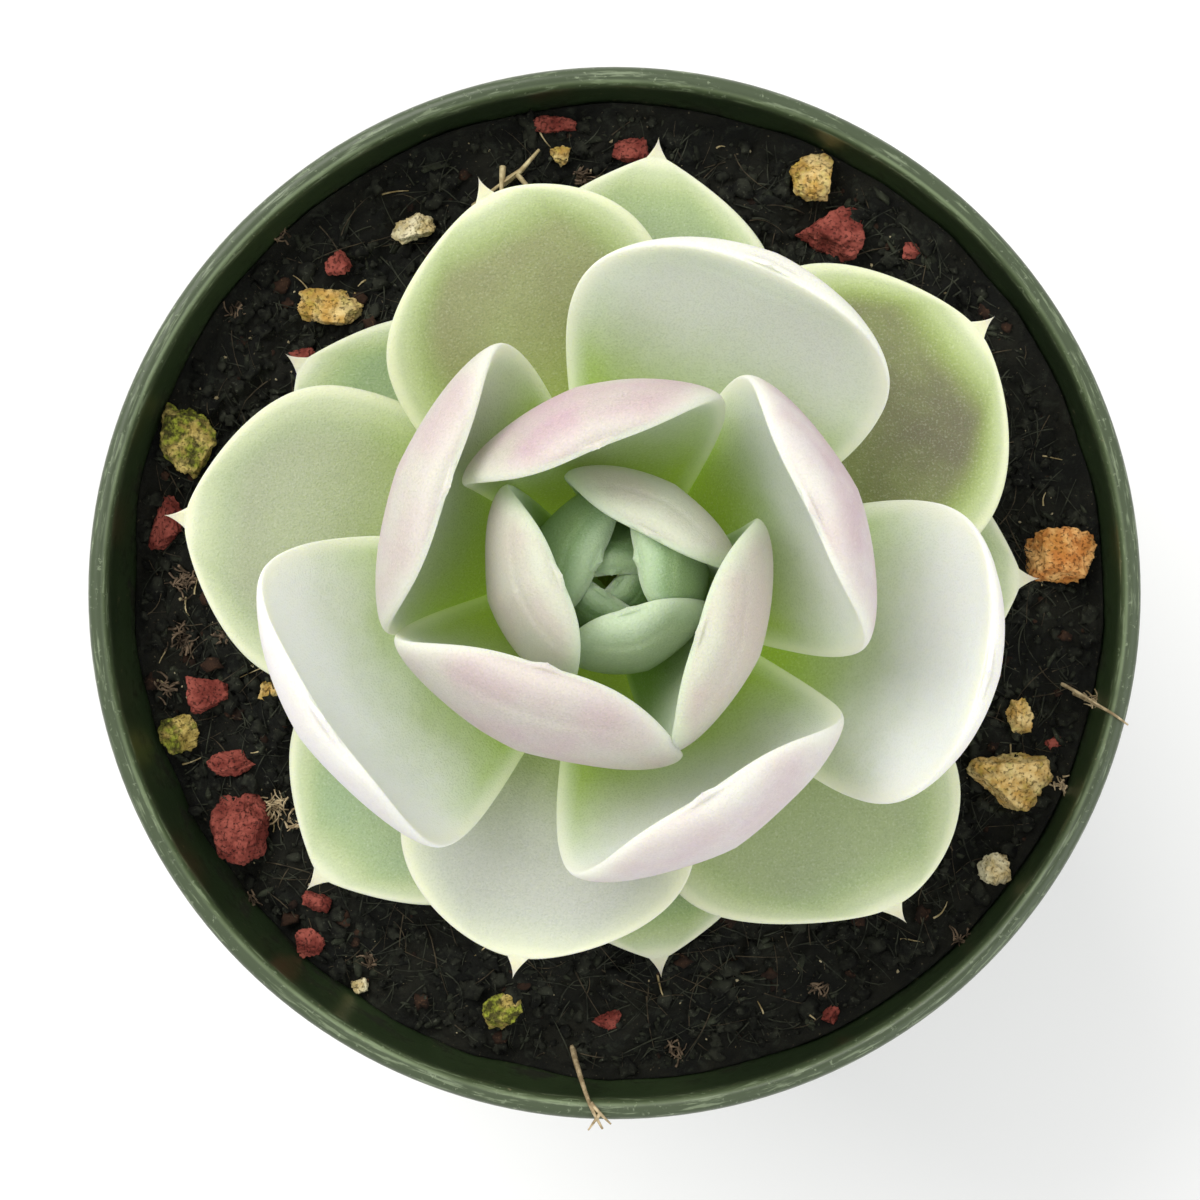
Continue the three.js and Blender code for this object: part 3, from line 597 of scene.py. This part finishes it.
class Leaf:
    """The growth of one leaf: where it starts, how its spine runs and how wide and thick it is."""

    def __init__(self, number):
        self.number = number
        age = number / (len(LEAVES) - 1)
        turn, length, width, thick, lift, end, cup, blunt, bend, self.skew, *self.look = LEAVES[number]
        self.length = length * PLANT_RADIUS
        self.width = width * PLANT_RADIUS
        self.thick = thick * PLANT_RADIUS
        self.lift, self.end = math.radians(lift), math.radians(end)
        self.cup, self.blunt = cup, blunt
        self.bend = math.radians(bend)
        self.direction = math.radians(FIRST_DIRECTION - GOLDEN_ANGLE * number + turn)
        self.curl = 1.3 if number < INCURVED_FROM else 2
        outer = number < OUTER_LEAVES
        self.spike = 2.1 * MM if outer else (1.1 - 0.6 * age) * MM
        self.spike_radius = 1.0 * MM if outer else (4 - 3.2 * age) * MM
        start = STEM_RADIUS + (STEM_TOP_RADIUS - STEM_RADIUS) * age
        self.base = PLANT_PLACE + Vector((
            start * math.cos(self.direction),
            start * math.sin(self.direction),
            FIRST_LEAF_HEIGHT + LEAF_RISE * number,
        ))
        self.tip = 1 + self.spike / self.length
        self.spine = self.grown_spine(160)

    def heading(self, s):
        """The spine's compass direction at s, which runs from 0 at the base to 1 at the end."""
        return self.direction + self.bend * s

    def along(self, s):
        """The spine's direction in space."""
        slope = self.lift + (self.end - self.lift) * min(s, 1) ** self.curl
        heading = self.heading(s)
        level = math.cos(slope)
        return Vector((level * math.cos(heading), level * math.sin(heading), math.sin(slope)))

    def grown_spine(self, steps):
        step = self.tip / steps
        points = [self.base.copy()]
        for i in range(steps):
            points.append(points[-1] + self.along((i + 0.5) * step) * step * self.length)
        return points

    def spine_at(self, s):
        steps = len(self.spine) - 1
        at = min(max(s / self.tip * steps, 0), steps)
        below = min(int(at), steps - 1)
        return self.spine[below].lerp(self.spine[below + 1], at - below)

    def outline(self, s):
        """The half width at s as a share of the widest."""
        if s <= WIDEST_AT:
            return NECK + (1 - NECK) * math.sin(math.pi / 2 * s / WIDEST_AT) ** 1.35
        x = (s - WIDEST_AT) / (1 - WIDEST_AT)
        return max(0, 1 - x ** 2.2) ** self.blunt

    def section(self, s):
        """Half width, thickness and how far the margins are raised, at s along the spine."""
        if s > 1:
            left = max(0, 1 - (s - 1) * self.length / self.spike)
            spike = self.spike_radius * left ** 1.6
            return spike, min(0.8 * spike, SPIKE_THICKNESS), 0
        spike = self.spike_radius * math.exp(-(1 - s) * self.length / FLARE)
        width = self.outline(s)
        belly = 0.55 + 0.45 * math.sin(math.pi * min(1, 1.1 * s)) ** 0.8
        thick = self.thick * belly * min(1, width / 0.75) ** 0.8
        raised = self.cup * self.width * width * (0.35 + 0.65 * min(1, s / 0.6))
        return self.width * width + spike, thick + min(0.8 * spike, SPIKE_THICKNESS), raised


LENS = 1.2  # above 1 the section is thinner at the margins than an ellipse
MARGIN_RADIUS = 0.4 * MM


def leaf_body(leaf):
    """A ball reshaped row by row along the spine. It carries the places that the skin reads."""
    bm = bmesh.new()
    bmesh.ops.create_uvsphere(bm, u_segments=LEAF_SIDES, v_segments=LEAF_ROWS, radius=1)
    layers = bm.verts.layers.float
    along_layer, edge_layer, back_layer = (layers.new(name) for name in ("along", "margin", "back"))
    for vert in bm.verts:
        row = round(math.acos(max(-1, min(1, vert.co.z))) / math.pi * LEAF_ROWS)
        around = math.atan2(vert.co.y, vert.co.x)
        pole = row in (0, LEAF_ROWS)
        if row < SPIKE_ROWS:
            s = 1 + (1 - row / SPIKE_ROWS) * leaf.spike / leaf.length
        else:
            left = min(1, (row - SPIKE_ROWS) / (LEAF_ROWS - 1 - SPIKE_ROWS))
            s = 1 - left ** 1.6
        width, thick, raised = leaf.section(s)
        c, n = math.cos(around), math.sin(around)
        full = abs(n) ** LENS
        rounded = min(MARGIN_RADIUS, 0.5 * thick) * abs(n) ** 0.45 * c * c
        if n >= 0:
            height = UPPER_SHARE * thick * full + 0.5 * rounded
        else:
            height = -(1 - UPPER_SHARE) * thick * ((1 - KEEL) * full + KEEL * (1 - abs(c))) - rounded
        across = 0 if pole else width * c
        height = 0 if pole else height + raised * c * c
        heading = leaf.heading(s)
        forward = leaf.along(s)
        side = Vector((-math.sin(heading), math.cos(heading), 0))
        up = forward.cross(side)
        vert.co = leaf.spine_at(s) + side * across + up * height
        vert.co += forward * (leaf.skew * across * min(1, s) ** 2)
        blade = min(1, max(0, (1.02 - s) * 8))
        uneven = noise.noise(vert.co * 120 + Vector((leaf.number, 0, 0)))
        vert.co += up * (0.35 * MM * blade * uneven * (1 - 0.6 * abs(c)))
        vert[along_layer] = min(s, 1.1)
        from_margin = width * (1 - abs(c)) if s < 1 else 0
        vert[edge_layer] = min(from_margin, max(0, (1 - s)) * leaf.length) / MM
        vert[back_layer] = 0.5 - 0.5 * max(-1, min(1, 3 * n))
    bmesh.ops.recalc_face_normals(bm, faces=bm.faces)
    return bm


def make_leaf_skin():
    """The leaf's colours: green flesh with a painted glow of light through the flesh, strongest near
    the stem, frosted towards the tip, with a cream margin and a pink flush on the back."""
    tree, given, out = group(
        "leaf_skin",
        [("Olive", "Float", 0.5), ("Grey", "Float", 0.1), ("Frost", "Float", 0.3),
         ("Flush", "Float", 0.3), ("Green", "Color", BLACK), ("Glow", "Color", BLACK),
         ("Frosted", "Color", WHITE), ("Pink", "Color", WHITE), ("Cream", "Color", WHITE),
         ("Margin Width", "Float", 2.4), ("Tan Point", "Float", 0.6)],
        [("Color", "Color"), ("Height", "Float"), ("Bloom", "Float"), ("Light", "Color")],
    )

    def attribute(name):
        made = tree.nodes.new("ShaderNodeAttribute")
        made.attribute_name = name
        return made.outputs["Fac"]

    along, margin, back = attribute("along"), attribute("margin"), attribute("back")
    clouds = noised(tree, 95, 4, 0.6)
    centre = ranged(tree, margin, 1.2, 6.0, 0.3, 1.0)
    flesh = mixed(tree, times(tree, centre, given["Olive"]), given["Green"], "999b52")
    # Painted shade: grey darkens the middle of the leaf, partly standing in for shade from the leaves
    # above.
    flesh = mixed(tree, times(tree, centre, given["Grey"]), flesh, "6f6a4e")
    # Painted glow: the flesh turns towards the glow colour in clouds, low on the leaf near the stem
    # and in a band inside the margins, standing in for light that comes through the flesh.
    cloudy = times(tree, ranged(tree, clouds, 0.3, 0.7), 0.3)
    flesh = mixed(tree, cloudy, flesh, given["Glow"])
    low = ranged(tree, plus(tree, along, times(tree, clouds, 0.25)), 0.78, 0.3)
    flesh = mixed(tree, times(tree, low, 0.9), flesh, given["Glow"])
    inner_edge = times(tree, ranged(tree, margin, 6.0, 2.4), ranged(tree, margin, 0.6, 2.4))
    flesh = mixed(tree, times(tree, inner_edge, 0.6), flesh, given["Glow"])
    wandering = plus(tree, along, times(tree, clouds, 0.3))
    outward = ranged(tree, wandering, 0.42, 0.92)
    frost = times(tree, outward, given["Frost"])
    near = ranged(tree, margin, 4.5, 0.3)
    near = times(tree, near, times(tree, given["Frost"], 0.75))
    frost = mathed(tree, "MAXIMUM", frost, times(tree, near, ranged(tree, along, 0.2, 0.6)))
    bloomed = mixed(tree, frost, flesh, given["Frosted"])
    behind = times(tree, back, ranged(tree, wandering, 0.3, 0.75))
    behind = times(tree, behind, given["Flush"])
    blotches = ranged(tree, noised(tree, 160, 3, 0.5), 0.25, 0.7, 0.55, 1.0)
    flushed = mixed(tree, times(tree, behind, blotches), bloomed, given["Pink"])
    speckle = ranged(tree, noised(tree, 5200, 2, 0.5), 0.42, 0.72)
    dotted = times(tree, speckle, mathed(tree, "SUBTRACT", 0.26, times(tree, frost, 0.2)))
    grained = mixed(tree, dotted, flushed, "5f7a45")
    pale = ranged(tree, noised(tree, 4600, 2, 0.5), 0.5, 0.75)
    grained = mixed(tree, times(tree, pale, 0.16), grained, "eef0dc")
    soft = ranged(tree, margin, given["Margin Width"], 0.3)
    crisp = ranged(tree, margin, 1.6, 0.2)
    rim = plus(tree, times(tree, soft, 0.5), times(tree, crisp, 0.32))
    rim = times(tree, rim, mathed(tree, "SUBTRACT", 1.0, times(tree, back, 0.6)))
    creamy = mixed(tree, rim, grained, given["Cream"])
    point = ranged(tree, along, 0.99, 1.03)
    pointed = mixed(tree, times(tree, point, given["Tan Point"]), creamy, "e6dcae")
    tree.links.new(pointed, out["Color"])
    tree.links.new(plus(tree, speckle, clouds), out["Height"])
    tree.links.new(frost, out["Bloom"])
    # Painted glow: the glow colour is emitted low on the leaf, standing in for light that comes
    # through the flesh.
    deep = ranged(tree, wandering, 0.95, 0.35)
    tree.links.new(mixed(tree, deep, "000000", given["Glow"]), out["Light"])
    return tree


leaf_skin = make_leaf_skin()

# Strengths of the painted glow that the leaf skins emit.
INNER_LIGHT = 0.22  # painted glow: emission at the base of a leaf that stands in for daylight coming through the flesh
OUTER_LIGHT = 0.14
BUD_LIGHT = 0.06


def leaf_material(leaf, green, glow, frosted, pink, cream, margin_width, inner_light):
    """The skin of one leaf: the colours of its kind with the look values from the leaf's row."""
    olive, grey, frost, flush = leaf.look
    made, tree, shader = new_material(
        f"leaf_skin_{leaf.number + 1:02d}", 0.48, Specular_IOR_Level=0.3,
        Subsurface_Weight=0.45, Subsurface_Radius=(0.9, 1.0, 0.35), Subsurface_Scale=2.2 * MM,
        Emission_Strength=inner_light,
    )
    skin = place(tree, leaf_skin, Olive=olive, Grey=grey, Frost=frost, Flush=flush, Green=srgb(green),
                 Glow=srgb(glow), Frosted=srgb(frosted), Pink=srgb(pink), Cream=srgb(cream),
                 Margin_Width=margin_width, Tan_Point=0.6 if leaf.number < OUTER_LEAVES else 0)
    tree.links.new(skin.outputs["Color"], shader.inputs["Base Color"])
    tree.links.new(skin.outputs["Light"], shader.inputs["Emission Color"])
    roughness = plus(tree, times(tree, skin.outputs["Bloom"], 0.15), 0.44)
    tree.links.new(roughness, shader.inputs["Roughness"])
    bumped(tree, shader, skin.outputs["Height"], 0.035 * MM, 0.7)
    return made


for number in range(len(LEAVES)):
    leaf = Leaf(number)
    if number < OUTER_LEAVES:
        skin = leaf_material(leaf, "86b066", "a9bf5e", "d2d2d2", "cbb6b8", "eff2d2", 4.2, OUTER_LIGHT)
    elif number < BUD_FROM:
        skin = leaf_material(leaf, "84ad56", "9fbc42", "ecefee", "c3a8b0", "eceee0", 2.8, INNER_LIGHT)
    else:
        skin = leaf_material(leaf, "80b06c", "86ab50", "d3dacb", "cbb7b2", "d6e2c8", 1.5, BUD_LIGHT)
    blade = finished(f"leaf_blade_{number + 1:02d}", leaf_body(leaf), skin)
    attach(blade, "root")
    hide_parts(f"leaf_{number + 1:02d}")


# ---------------------------------------------------------------------------------------------
# The gravel: broken red lava, yellow and pale pumice and clay, full of small pores. Moss grows on
# three of the stones.
# ---------------------------------------------------------------------------------------------

def make_porous_stone():
    """Stone of two colours with painted shade in its pores, and a height that sinks into them."""
    tree, given, out = group(
        "porous_stone",
        [("Light", "Color", WHITE), ("Deep", "Color", BLACK), ("Pore", "Color", BLACK),
         ("Moss", "Float", 0.0)],
        [("Color", "Color"), ("Height", "Float")],
    )
    patches = ranged(tree, noised(tree, 520, 4, 0.6), 0.36, 0.66)
    stone = mixed(tree, patches, given["Deep"], given["Light"])
    pores = ranged(tree, noised(tree, 3100, 3, 0.55, 0.3), 0.44, 0.35)
    # Painted shade: the pores are darkened towards the pore colour.
    pore_shaded = mixed(tree, times(tree, pores, 0.6), stone, given["Pore"])
    dust = ranged(tree, noised(tree, 4200, 2), 0.6, 0.72)
    dusted = mixed(tree, times(tree, dust, 0.35), pore_shaded, given["Light"])
    moss_patch = times(tree, ranged(tree, noised(tree, 380, 4, 0.6), 0.40, 0.56), given["Moss"])
    moss = mixed(tree, ranged(tree, noised(tree, 1500, 4), 0.4, 0.65), "2c3310", "98a234")
    grown = mixed(tree, moss_patch, dusted, moss)
    tree.links.new(grown, out["Color"])
    tree.links.new(mathed(tree, "SUBTRACT", 1.0, pores), out["Height"])
    return tree


porous_stone = make_porous_stone()


def stone_material(name, light, deep, pore_shade, moss=0.0):
    made, tree, shader = new_material(name, 0.9, Specular_IOR_Level=0.25)
    surface = place(tree, porous_stone, Light=srgb(light), Deep=srgb(deep), Pore=srgb(pore_shade), Moss=moss)
    tree.links.new(surface.outputs["Color"], shader.inputs["Base Color"])
    bumped(tree, shader, surface.outputs["Height"], 0.15 * MM)
    return made


# Each stone: its light and deep colours, the painted shade in its pores, and how much moss grows on
# it.
STONES = {
    "lava": stone_material("red_lava", "9c5145", "6f2f27", "30140f"),
    "pumice": stone_material("yellow_pumice", "f0d594", "cda153", "7a5c28", 0.35),
    "amber": stone_material("orange_clay", "f0bd78", "c07a3a", "6e4018", 0.1),
    "pale": stone_material("pale_pumice", "f7edc6", "d4bd84", "8a7444", 0.15),
    "moss": stone_material("mossy_stone", "e0c878", "a08a45", "3a3517", 0.9),
}
CHIP_KINDS = (  # of chip_01 to chip_28
    "lava pumice lava pale pumice lava lava moss lava pumice lava lava amber pumice lava pumice "
    "pale lava moss lava pumice lava lava lava pale moss lava lava"
).split()
FACET_COUNT = 9
FINE_STONE = 6  # levels of subdivision
SMALL_STONE = 5
SMALL_BELOW = 3 * MM
STONE_GROWTH = 1.06  # makes up for what the pits take off
PIT_DEPTH = 0.13 * MM


def stone_body(size, seed):
    """A ball cut back to random flat faces, then roughened and pitted. size is its box."""
    rng = random.Random(seed)
    bm = bmesh.new()
    detail = FINE_STONE if max(size) > SMALL_BELOW else SMALL_STONE
    bmesh.ops.create_icosphere(bm, subdivisions=detail, radius=1)
    cuts = []
    for _ in range(FACET_COUNT):
        normal = Vector((rng.gauss(0, 1), rng.gauss(0, 1), rng.gauss(0, 0.8))).normalized()
        cuts.append((normal, rng.uniform(0.5, 0.95)))
    place_in_noise = Vector((seed * 3.7, 0, 0))
    for vert in bm.verts:
        direction = vert.co.normalized()
        reach = min([1.08] + [depth / max(direction.dot(normal), 0.2) for normal, depth in cuts])
        lumps = noise.fractal(direction * 2.2 + place_in_noise, 0.8, 2.0, 4)
        vert.co = direction * reach * (1 + 0.13 * lumps)
    low = Vector([min(vert.co[k] for vert in bm.verts) for k in range(3)])
    high = Vector([max(vert.co[k] for vert in bm.verts) for k in range(3)])
    for vert in bm.verts:
        shared = Vector([(vert.co[k] - low[k]) / (high[k] - low[k]) - 0.5 for k in range(3)])
        vert.co = Vector([shared[k] * size[k] for k in range(3)])
        pits = noise.fractal(vert.co * 1500 + place_in_noise, 0.6, 2.0, 3)
        vert.co += vert.co.normalized() * (PIT_DEPTH * min(0.4, pits) - 0.02 * MM)
    return bm


for number, kind in enumerate(CHIP_KINDS, start=1):
    low, high = (Vector(corner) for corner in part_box(f"chip_{number:02d}"))
    bm = stone_body((high - low) * STONE_GROWTH, number)
    bmesh.ops.translate(bm, verts=bm.verts, vec=(low + high) / 2)
    stone = finished(f"stone_{number:02d}", bm, STONES[kind])
    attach(stone, "root")
    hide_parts(f"chip_{number:02d}")


# ---------------------------------------------------------------------------------------------
# Loose crumbs of peat and bark on the mix. They lie evenly over the open ring of mix from the outer
# leaves to the wall, and a few pale grains of pumice dust lie among them.
# ---------------------------------------------------------------------------------------------

def ground(x, y):
    """The top of the mix at a place, with its crumbs."""
    height = soil_height(x, y)
    return height + crumbly(Vector((x, y, height)))


def somewhere(rng, nearest=HIDDEN_RADIUS, margin=0.6 * MM):
    """A random place on the open ring of mix between the leaves and the wall."""
    heading = rng.uniform(0, 2 * math.pi)
    farthest = inner_radius(SOIL_LEVEL - SOIL_DIP) - margin
    reach = math.sqrt(rng.uniform((nearest / farthest) ** 2, 1)) * farthest
    return reach * math.cos(heading), reach * math.sin(heading)


OWN_NOISE = 4000  # per metre: crumbs at two places are dented in two ways


def crumbs(name, material, count, smallest, largest, seed, flatness, longest=1.3, detail=2):
    """Many small lumps in one mesh, each stretched, turned and dented its own way."""
    rng = random.Random(seed)
    whole = bmesh.new()
    single = bpy.data.meshes.new("single_crumb")
    for _ in range(count):
        x, y = somewhere(rng)
        size = smallest + (largest - smallest) * rng.random() ** 2.2
        long = size * rng.uniform(0.7, longest)
        high = size * flatness * rng.uniform(0.6, 1)
        turn = Matrix.Rotation(rng.uniform(0, 6.28), 4, "Z")
        tilt = Matrix.Rotation(rng.uniform(-0.5, 0.5), 4, "X")
        spot = Matrix.Translation((x, y, ground(x, y) + 0.1 * size))
        bm = bmesh.new()
        bmesh.ops.create_icosphere(bm, subdivisions=detail, radius=0.5)
        for vert in bm.verts:
            dent = noise.noise(vert.co * 4.5 + Vector((x * OWN_NOISE, y * OWN_NOISE, 0)))
            vert.co *= 1 + 1.1 * dent
        bm.transform(spot @ turn @ tilt @ Matrix.Diagonal((long, size, high, 1)))
        bm.to_mesh(single)
        bm.free()
        whole.from_mesh(single, face_normals=False, vertex_normals=False)
    bpy.data.meshes.remove(single)
    return finished(name, whole, material)


def crumb_material(name, dark, light, speck):
    made, tree, shader = new_material(name, 0.92, Specular_IOR_Level=0.25)
    patches = ranged(tree, noised(tree, 420, 4, 0.65), 0.36, 0.68)
    colour = mixed(tree, patches, dark, light)
    specks = ranged(tree, noised(tree, 3000, 3), 0.6, 0.7)
    colour = mixed(tree, times(tree, specks, 0.5), colour, speck)
    tree.links.new(colour, shader.inputs["Base Color"])
    bumped(tree, shader, noised(tree, 2600, 5, 0.7), 0.15 * MM)
    return made


peat_crumb = crumb_material("peat_crumb", "0a0b07", "303228", "55574a")
peat_shred = crumb_material("peat_shred", "12140d", "3a3e30", "66675a")
bark_crumb = crumb_material("bark_crumb", "1d130c", "3d2a1e", "6f523a")
pale_grain = crumb_material("pale_grain", "8a7c5c", "cfc39c", "efe8cc")
for piece in (
    crumbs("peat_crumbs", peat_crumb, 2300, 0.3 * MM, 1.9 * MM, 11, 0.7),
    crumbs("peat_shreds", peat_shred, 2200, 0.2 * MM, 0.9 * MM, 14, 0.35, longest=3.6, detail=1),
    crumbs("bark_crumbs", bark_crumb, 200, 0.4 * MM, 1.9 * MM, 12, 0.45),
    crumbs("pale_grains", pale_grain, 240, 0.12 * MM, 0.5 * MM, 13, 0.8, detail=1),
):
    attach(piece, "root")


# ---------------------------------------------------------------------------------------------
# Fibres: peat fibres, dry root ends and bits of straw, strewn over the mix. A pale root hangs over
# the rim at the front, a second bit at its right, and a forked twig lies at the back.
# ---------------------------------------------------------------------------------------------

def fibre_material(name, dark, light):
    made, tree, shader = new_material(name, 0.7, Specular_IOR_Level=0.3)
    colour = mixed(tree, ranged(tree, noised(tree, 900, 3), 0.35, 0.65), dark, light)
    tree.links.new(colour, shader.inputs["Base Color"])
    bumped(tree, shader, noised(tree, 5000, 2), 0.02 * MM)
    return made


def threads(name, runs, material, fullness=0):
    """Runs of (points, radius) made into thin tapered strands, all in one mesh."""
    data = bpy.data.curves.new(name, "CURVE")
    data.dimensions = "3D"
    data.bevel_depth = 1.0
    data.bevel_resolution = fullness
    data.use_fill_caps = True
    for points, radius in runs:
        spline = data.splines.new("POLY")
        spline.points.add(len(points) - 1)
        for i, (target, point) in enumerate(zip(spline.points, points)):
            target.co = (*point, 1)
            target.radius = radius * (1 - 0.6 * i / (len(points) - 1))
    holder = bpy.data.objects.new(name, data)
    scene.collection.objects.link(holder)
    shown = holder.evaluated_get(bpy.context.evaluated_depsgraph_get())
    mesh = bpy.data.meshes.new_from_object(shown)
    bpy.data.objects.remove(holder)
    mesh.materials.clear()
    mesh.shade_smooth()
    piece = link(name, mesh, material)
    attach(piece, "root")


def strewn(rng, count, shortest, longest, thinnest, thickest):
    """Random bent fibres that lie on the mix and lift off it a little."""
    runs = []
    for _ in range(count):
        x, y = somewhere(rng, margin=1.2 * MM)
        heading = rng.uniform(0, 2 * math.pi)
        length = rng.uniform(shortest, longest)
        curve = rng.gauss(0, 0.55)
        rise = rng.uniform(0, 0.35)
        points = []
        for i in range(6):
            share = i / 5
            lift = 0.12 * MM + math.sin(math.pi * share) * rise * length * 0.5
            points.append((x, y, ground(x, y) + lift))
            x += math.cos(heading + curve * share) * length / 5
            y += math.sin(heading + curve * share) * length / 5
            if math.hypot(x, y) > inner_radius(SOIL_LEVEL - SOIL_DIP) - 0.6 * MM:
                break
        if len(points) > 2:
            runs.append((points, rng.uniform(thinnest, thickest)))
    return runs


rng = random.Random(21)
dark_fibre = fibre_material("dark_fibre", "1e2118", "3f4234")
brown_fibre = fibre_material("brown_fibre", "2e281d", "574d3a")
straw = fibre_material("straw", "8f7c50", "d3c294")
threads("peat_fibres", strewn(rng, 1500, 1 * MM, 4.5 * MM, 0.04 * MM, 0.1 * MM), dark_fibre)
threads("root_fibres", strewn(rng, 420, 1.5 * MM, 6 * MM, 0.03 * MM, 0.08 * MM), brown_fibre)
threads("straw_bits", strewn(rng, 45, 0.8 * MM, 3 * MM, 0.05 * MM, 0.12 * MM), straw)


def laid(*places):
    """Points of a strand from (x, y, height above the mix) in millimetres."""
    return [(x * MM, y * MM, ground(x * MM, y * MM) + lift * MM) for x, y, lift in places]


def tuft(rng, x, y, reach, count):
    """Short dry threads that cross each other over one spot."""
    runs = []
    for _ in range(count):
        heading = rng.uniform(0, 2 * math.pi)
        length = rng.uniform(0.5, 1.2) * reach
        across, away = x + rng.gauss(0, 0.3) * reach, y + rng.gauss(0, 0.3) * reach
        lift = rng.uniform(0.1, 0.7)
        places = []
        for step in range(4):
            along = (step / 3 - 0.5) * length
            bent = heading + 0.4 * along
            places.append((across + along * math.cos(bent), away + along * math.sin(bent), lift))
        runs.append((laid(*places), rng.uniform(0.08, 0.17) * MM))
    return runs


dry_straw = fibre_material("dry_straw", "8d7a5a", "cdb993")
twig = [
    (laid((-11, 40.4, 0.4), (-9.2, 41.5, 1.2), (-7.4, 43.6, 1.3)), 0.38 * MM),
    (laid((-14, 38.3, 0.4), (-11.5, 40, 0.8), (-9.6, 41.3, 1.2)), 0.26 * MM),
    (laid((-9.6, 41.2, 1.2), (-8.2, 39.6, 1.4), (-7.4, 38.2, 1.2)), 0.28 * MM),
    (laid((-11, 42, 1.2), (-11.1, 40, 1.5), (-11, 37.2, 1.6)), 0.34 * MM),
]
threads("forked_twig", twig, fibre_material("pale_twig", "a5936a", "dccd9f"), 1)

LIP_TOP = POT_HEIGHT + 0.15 * MM


def over_lip(heading, inner, outer):
    """Points from the mix up the wall and over the lip, from one reach to another in millimetres."""
    start, end = (math.radians(turn) for turn in heading)
    from_mix = inner * MM < COLLAR_RADIUS
    points = []
    for i in range(9):
        share = i / 8
        reach = inner + (outer - inner) * share
        turn = start + (end - start) * share
        climb = min(1, max(0, (reach - inner) / (RIM_RADIUS / MM - 1.6 - inner)))
        x, y = reach * math.cos(turn) * MM, reach * math.sin(turn) * MM
        fall = max(0, reach - RIM_RADIUS / MM + 0.8)
        rise = climb ** 0.7 if from_mix else 1
        height = ground(x, y) * (1 - rise) + LIP_TOP * rise + (0.3 - 0.45 * fall) * MM
        points.append((x, y, height))
    return points


hanging = [
    (over_lip((264.7, 268.7), 45.2, 51.8), 0.3 * MM),
    (over_lip((267.3, 269.6), 49.2, 51.3), 0.22 * MM),
    (over_lip((268.4, 267.2), 50.2, 52.0), 0.2 * MM),
    (over_lip((-12.3, -14.4), 46.4, 51.2), 0.22 * MM),
    (over_lip((-11.5, -13.2), 45.0, 48.5), 0.2 * MM),
]
threads("hanging_root", hanging, dry_straw, 1)

rng = random.Random(31)
PALE_TUFTS = (  # x, y and reach in millimetres, and the number of threads
    (-33.6, -21.3, 1.9, 26), (-31.6, -22.8, 1.3, 12), (47.2, -10.6, 1.2, 12),
    (43.8, -18.8, 1.2, 12),
)
BROWN_TUFTS = (
    (-42.7, 1.2, 1.7, 26), (-42.9, -4.6, 1.8, 30), (-38.9, -4.4, 1.1, 10), (-44.6, -9.4, 1.4, 14),
    (-3.2, 41.0, 1.4, 18), (-33.0, 35.3, 1.3, 14), (-37.5, 27.6, 1.5, 16), (20.2, -39.0, 1.5, 14),
    (34.0, -34.0, 1.4, 12), (-24.5, -36.5, 1.3, 12), (6.0, -45.5, 1.4, 14), (-36.4, -30.6, 1.3, 12),
)
brown_straw = fibre_material("brown_straw", "3a2f22", "84705a")
for name, tufts, material in (
    ("pale_tufts", PALE_TUFTS, dry_straw),
    ("brown_tufts", BROWN_TUFTS, brown_straw),
):
    threads(name, [run for spot in tufts for run in tuft(rng, *spot)], material)
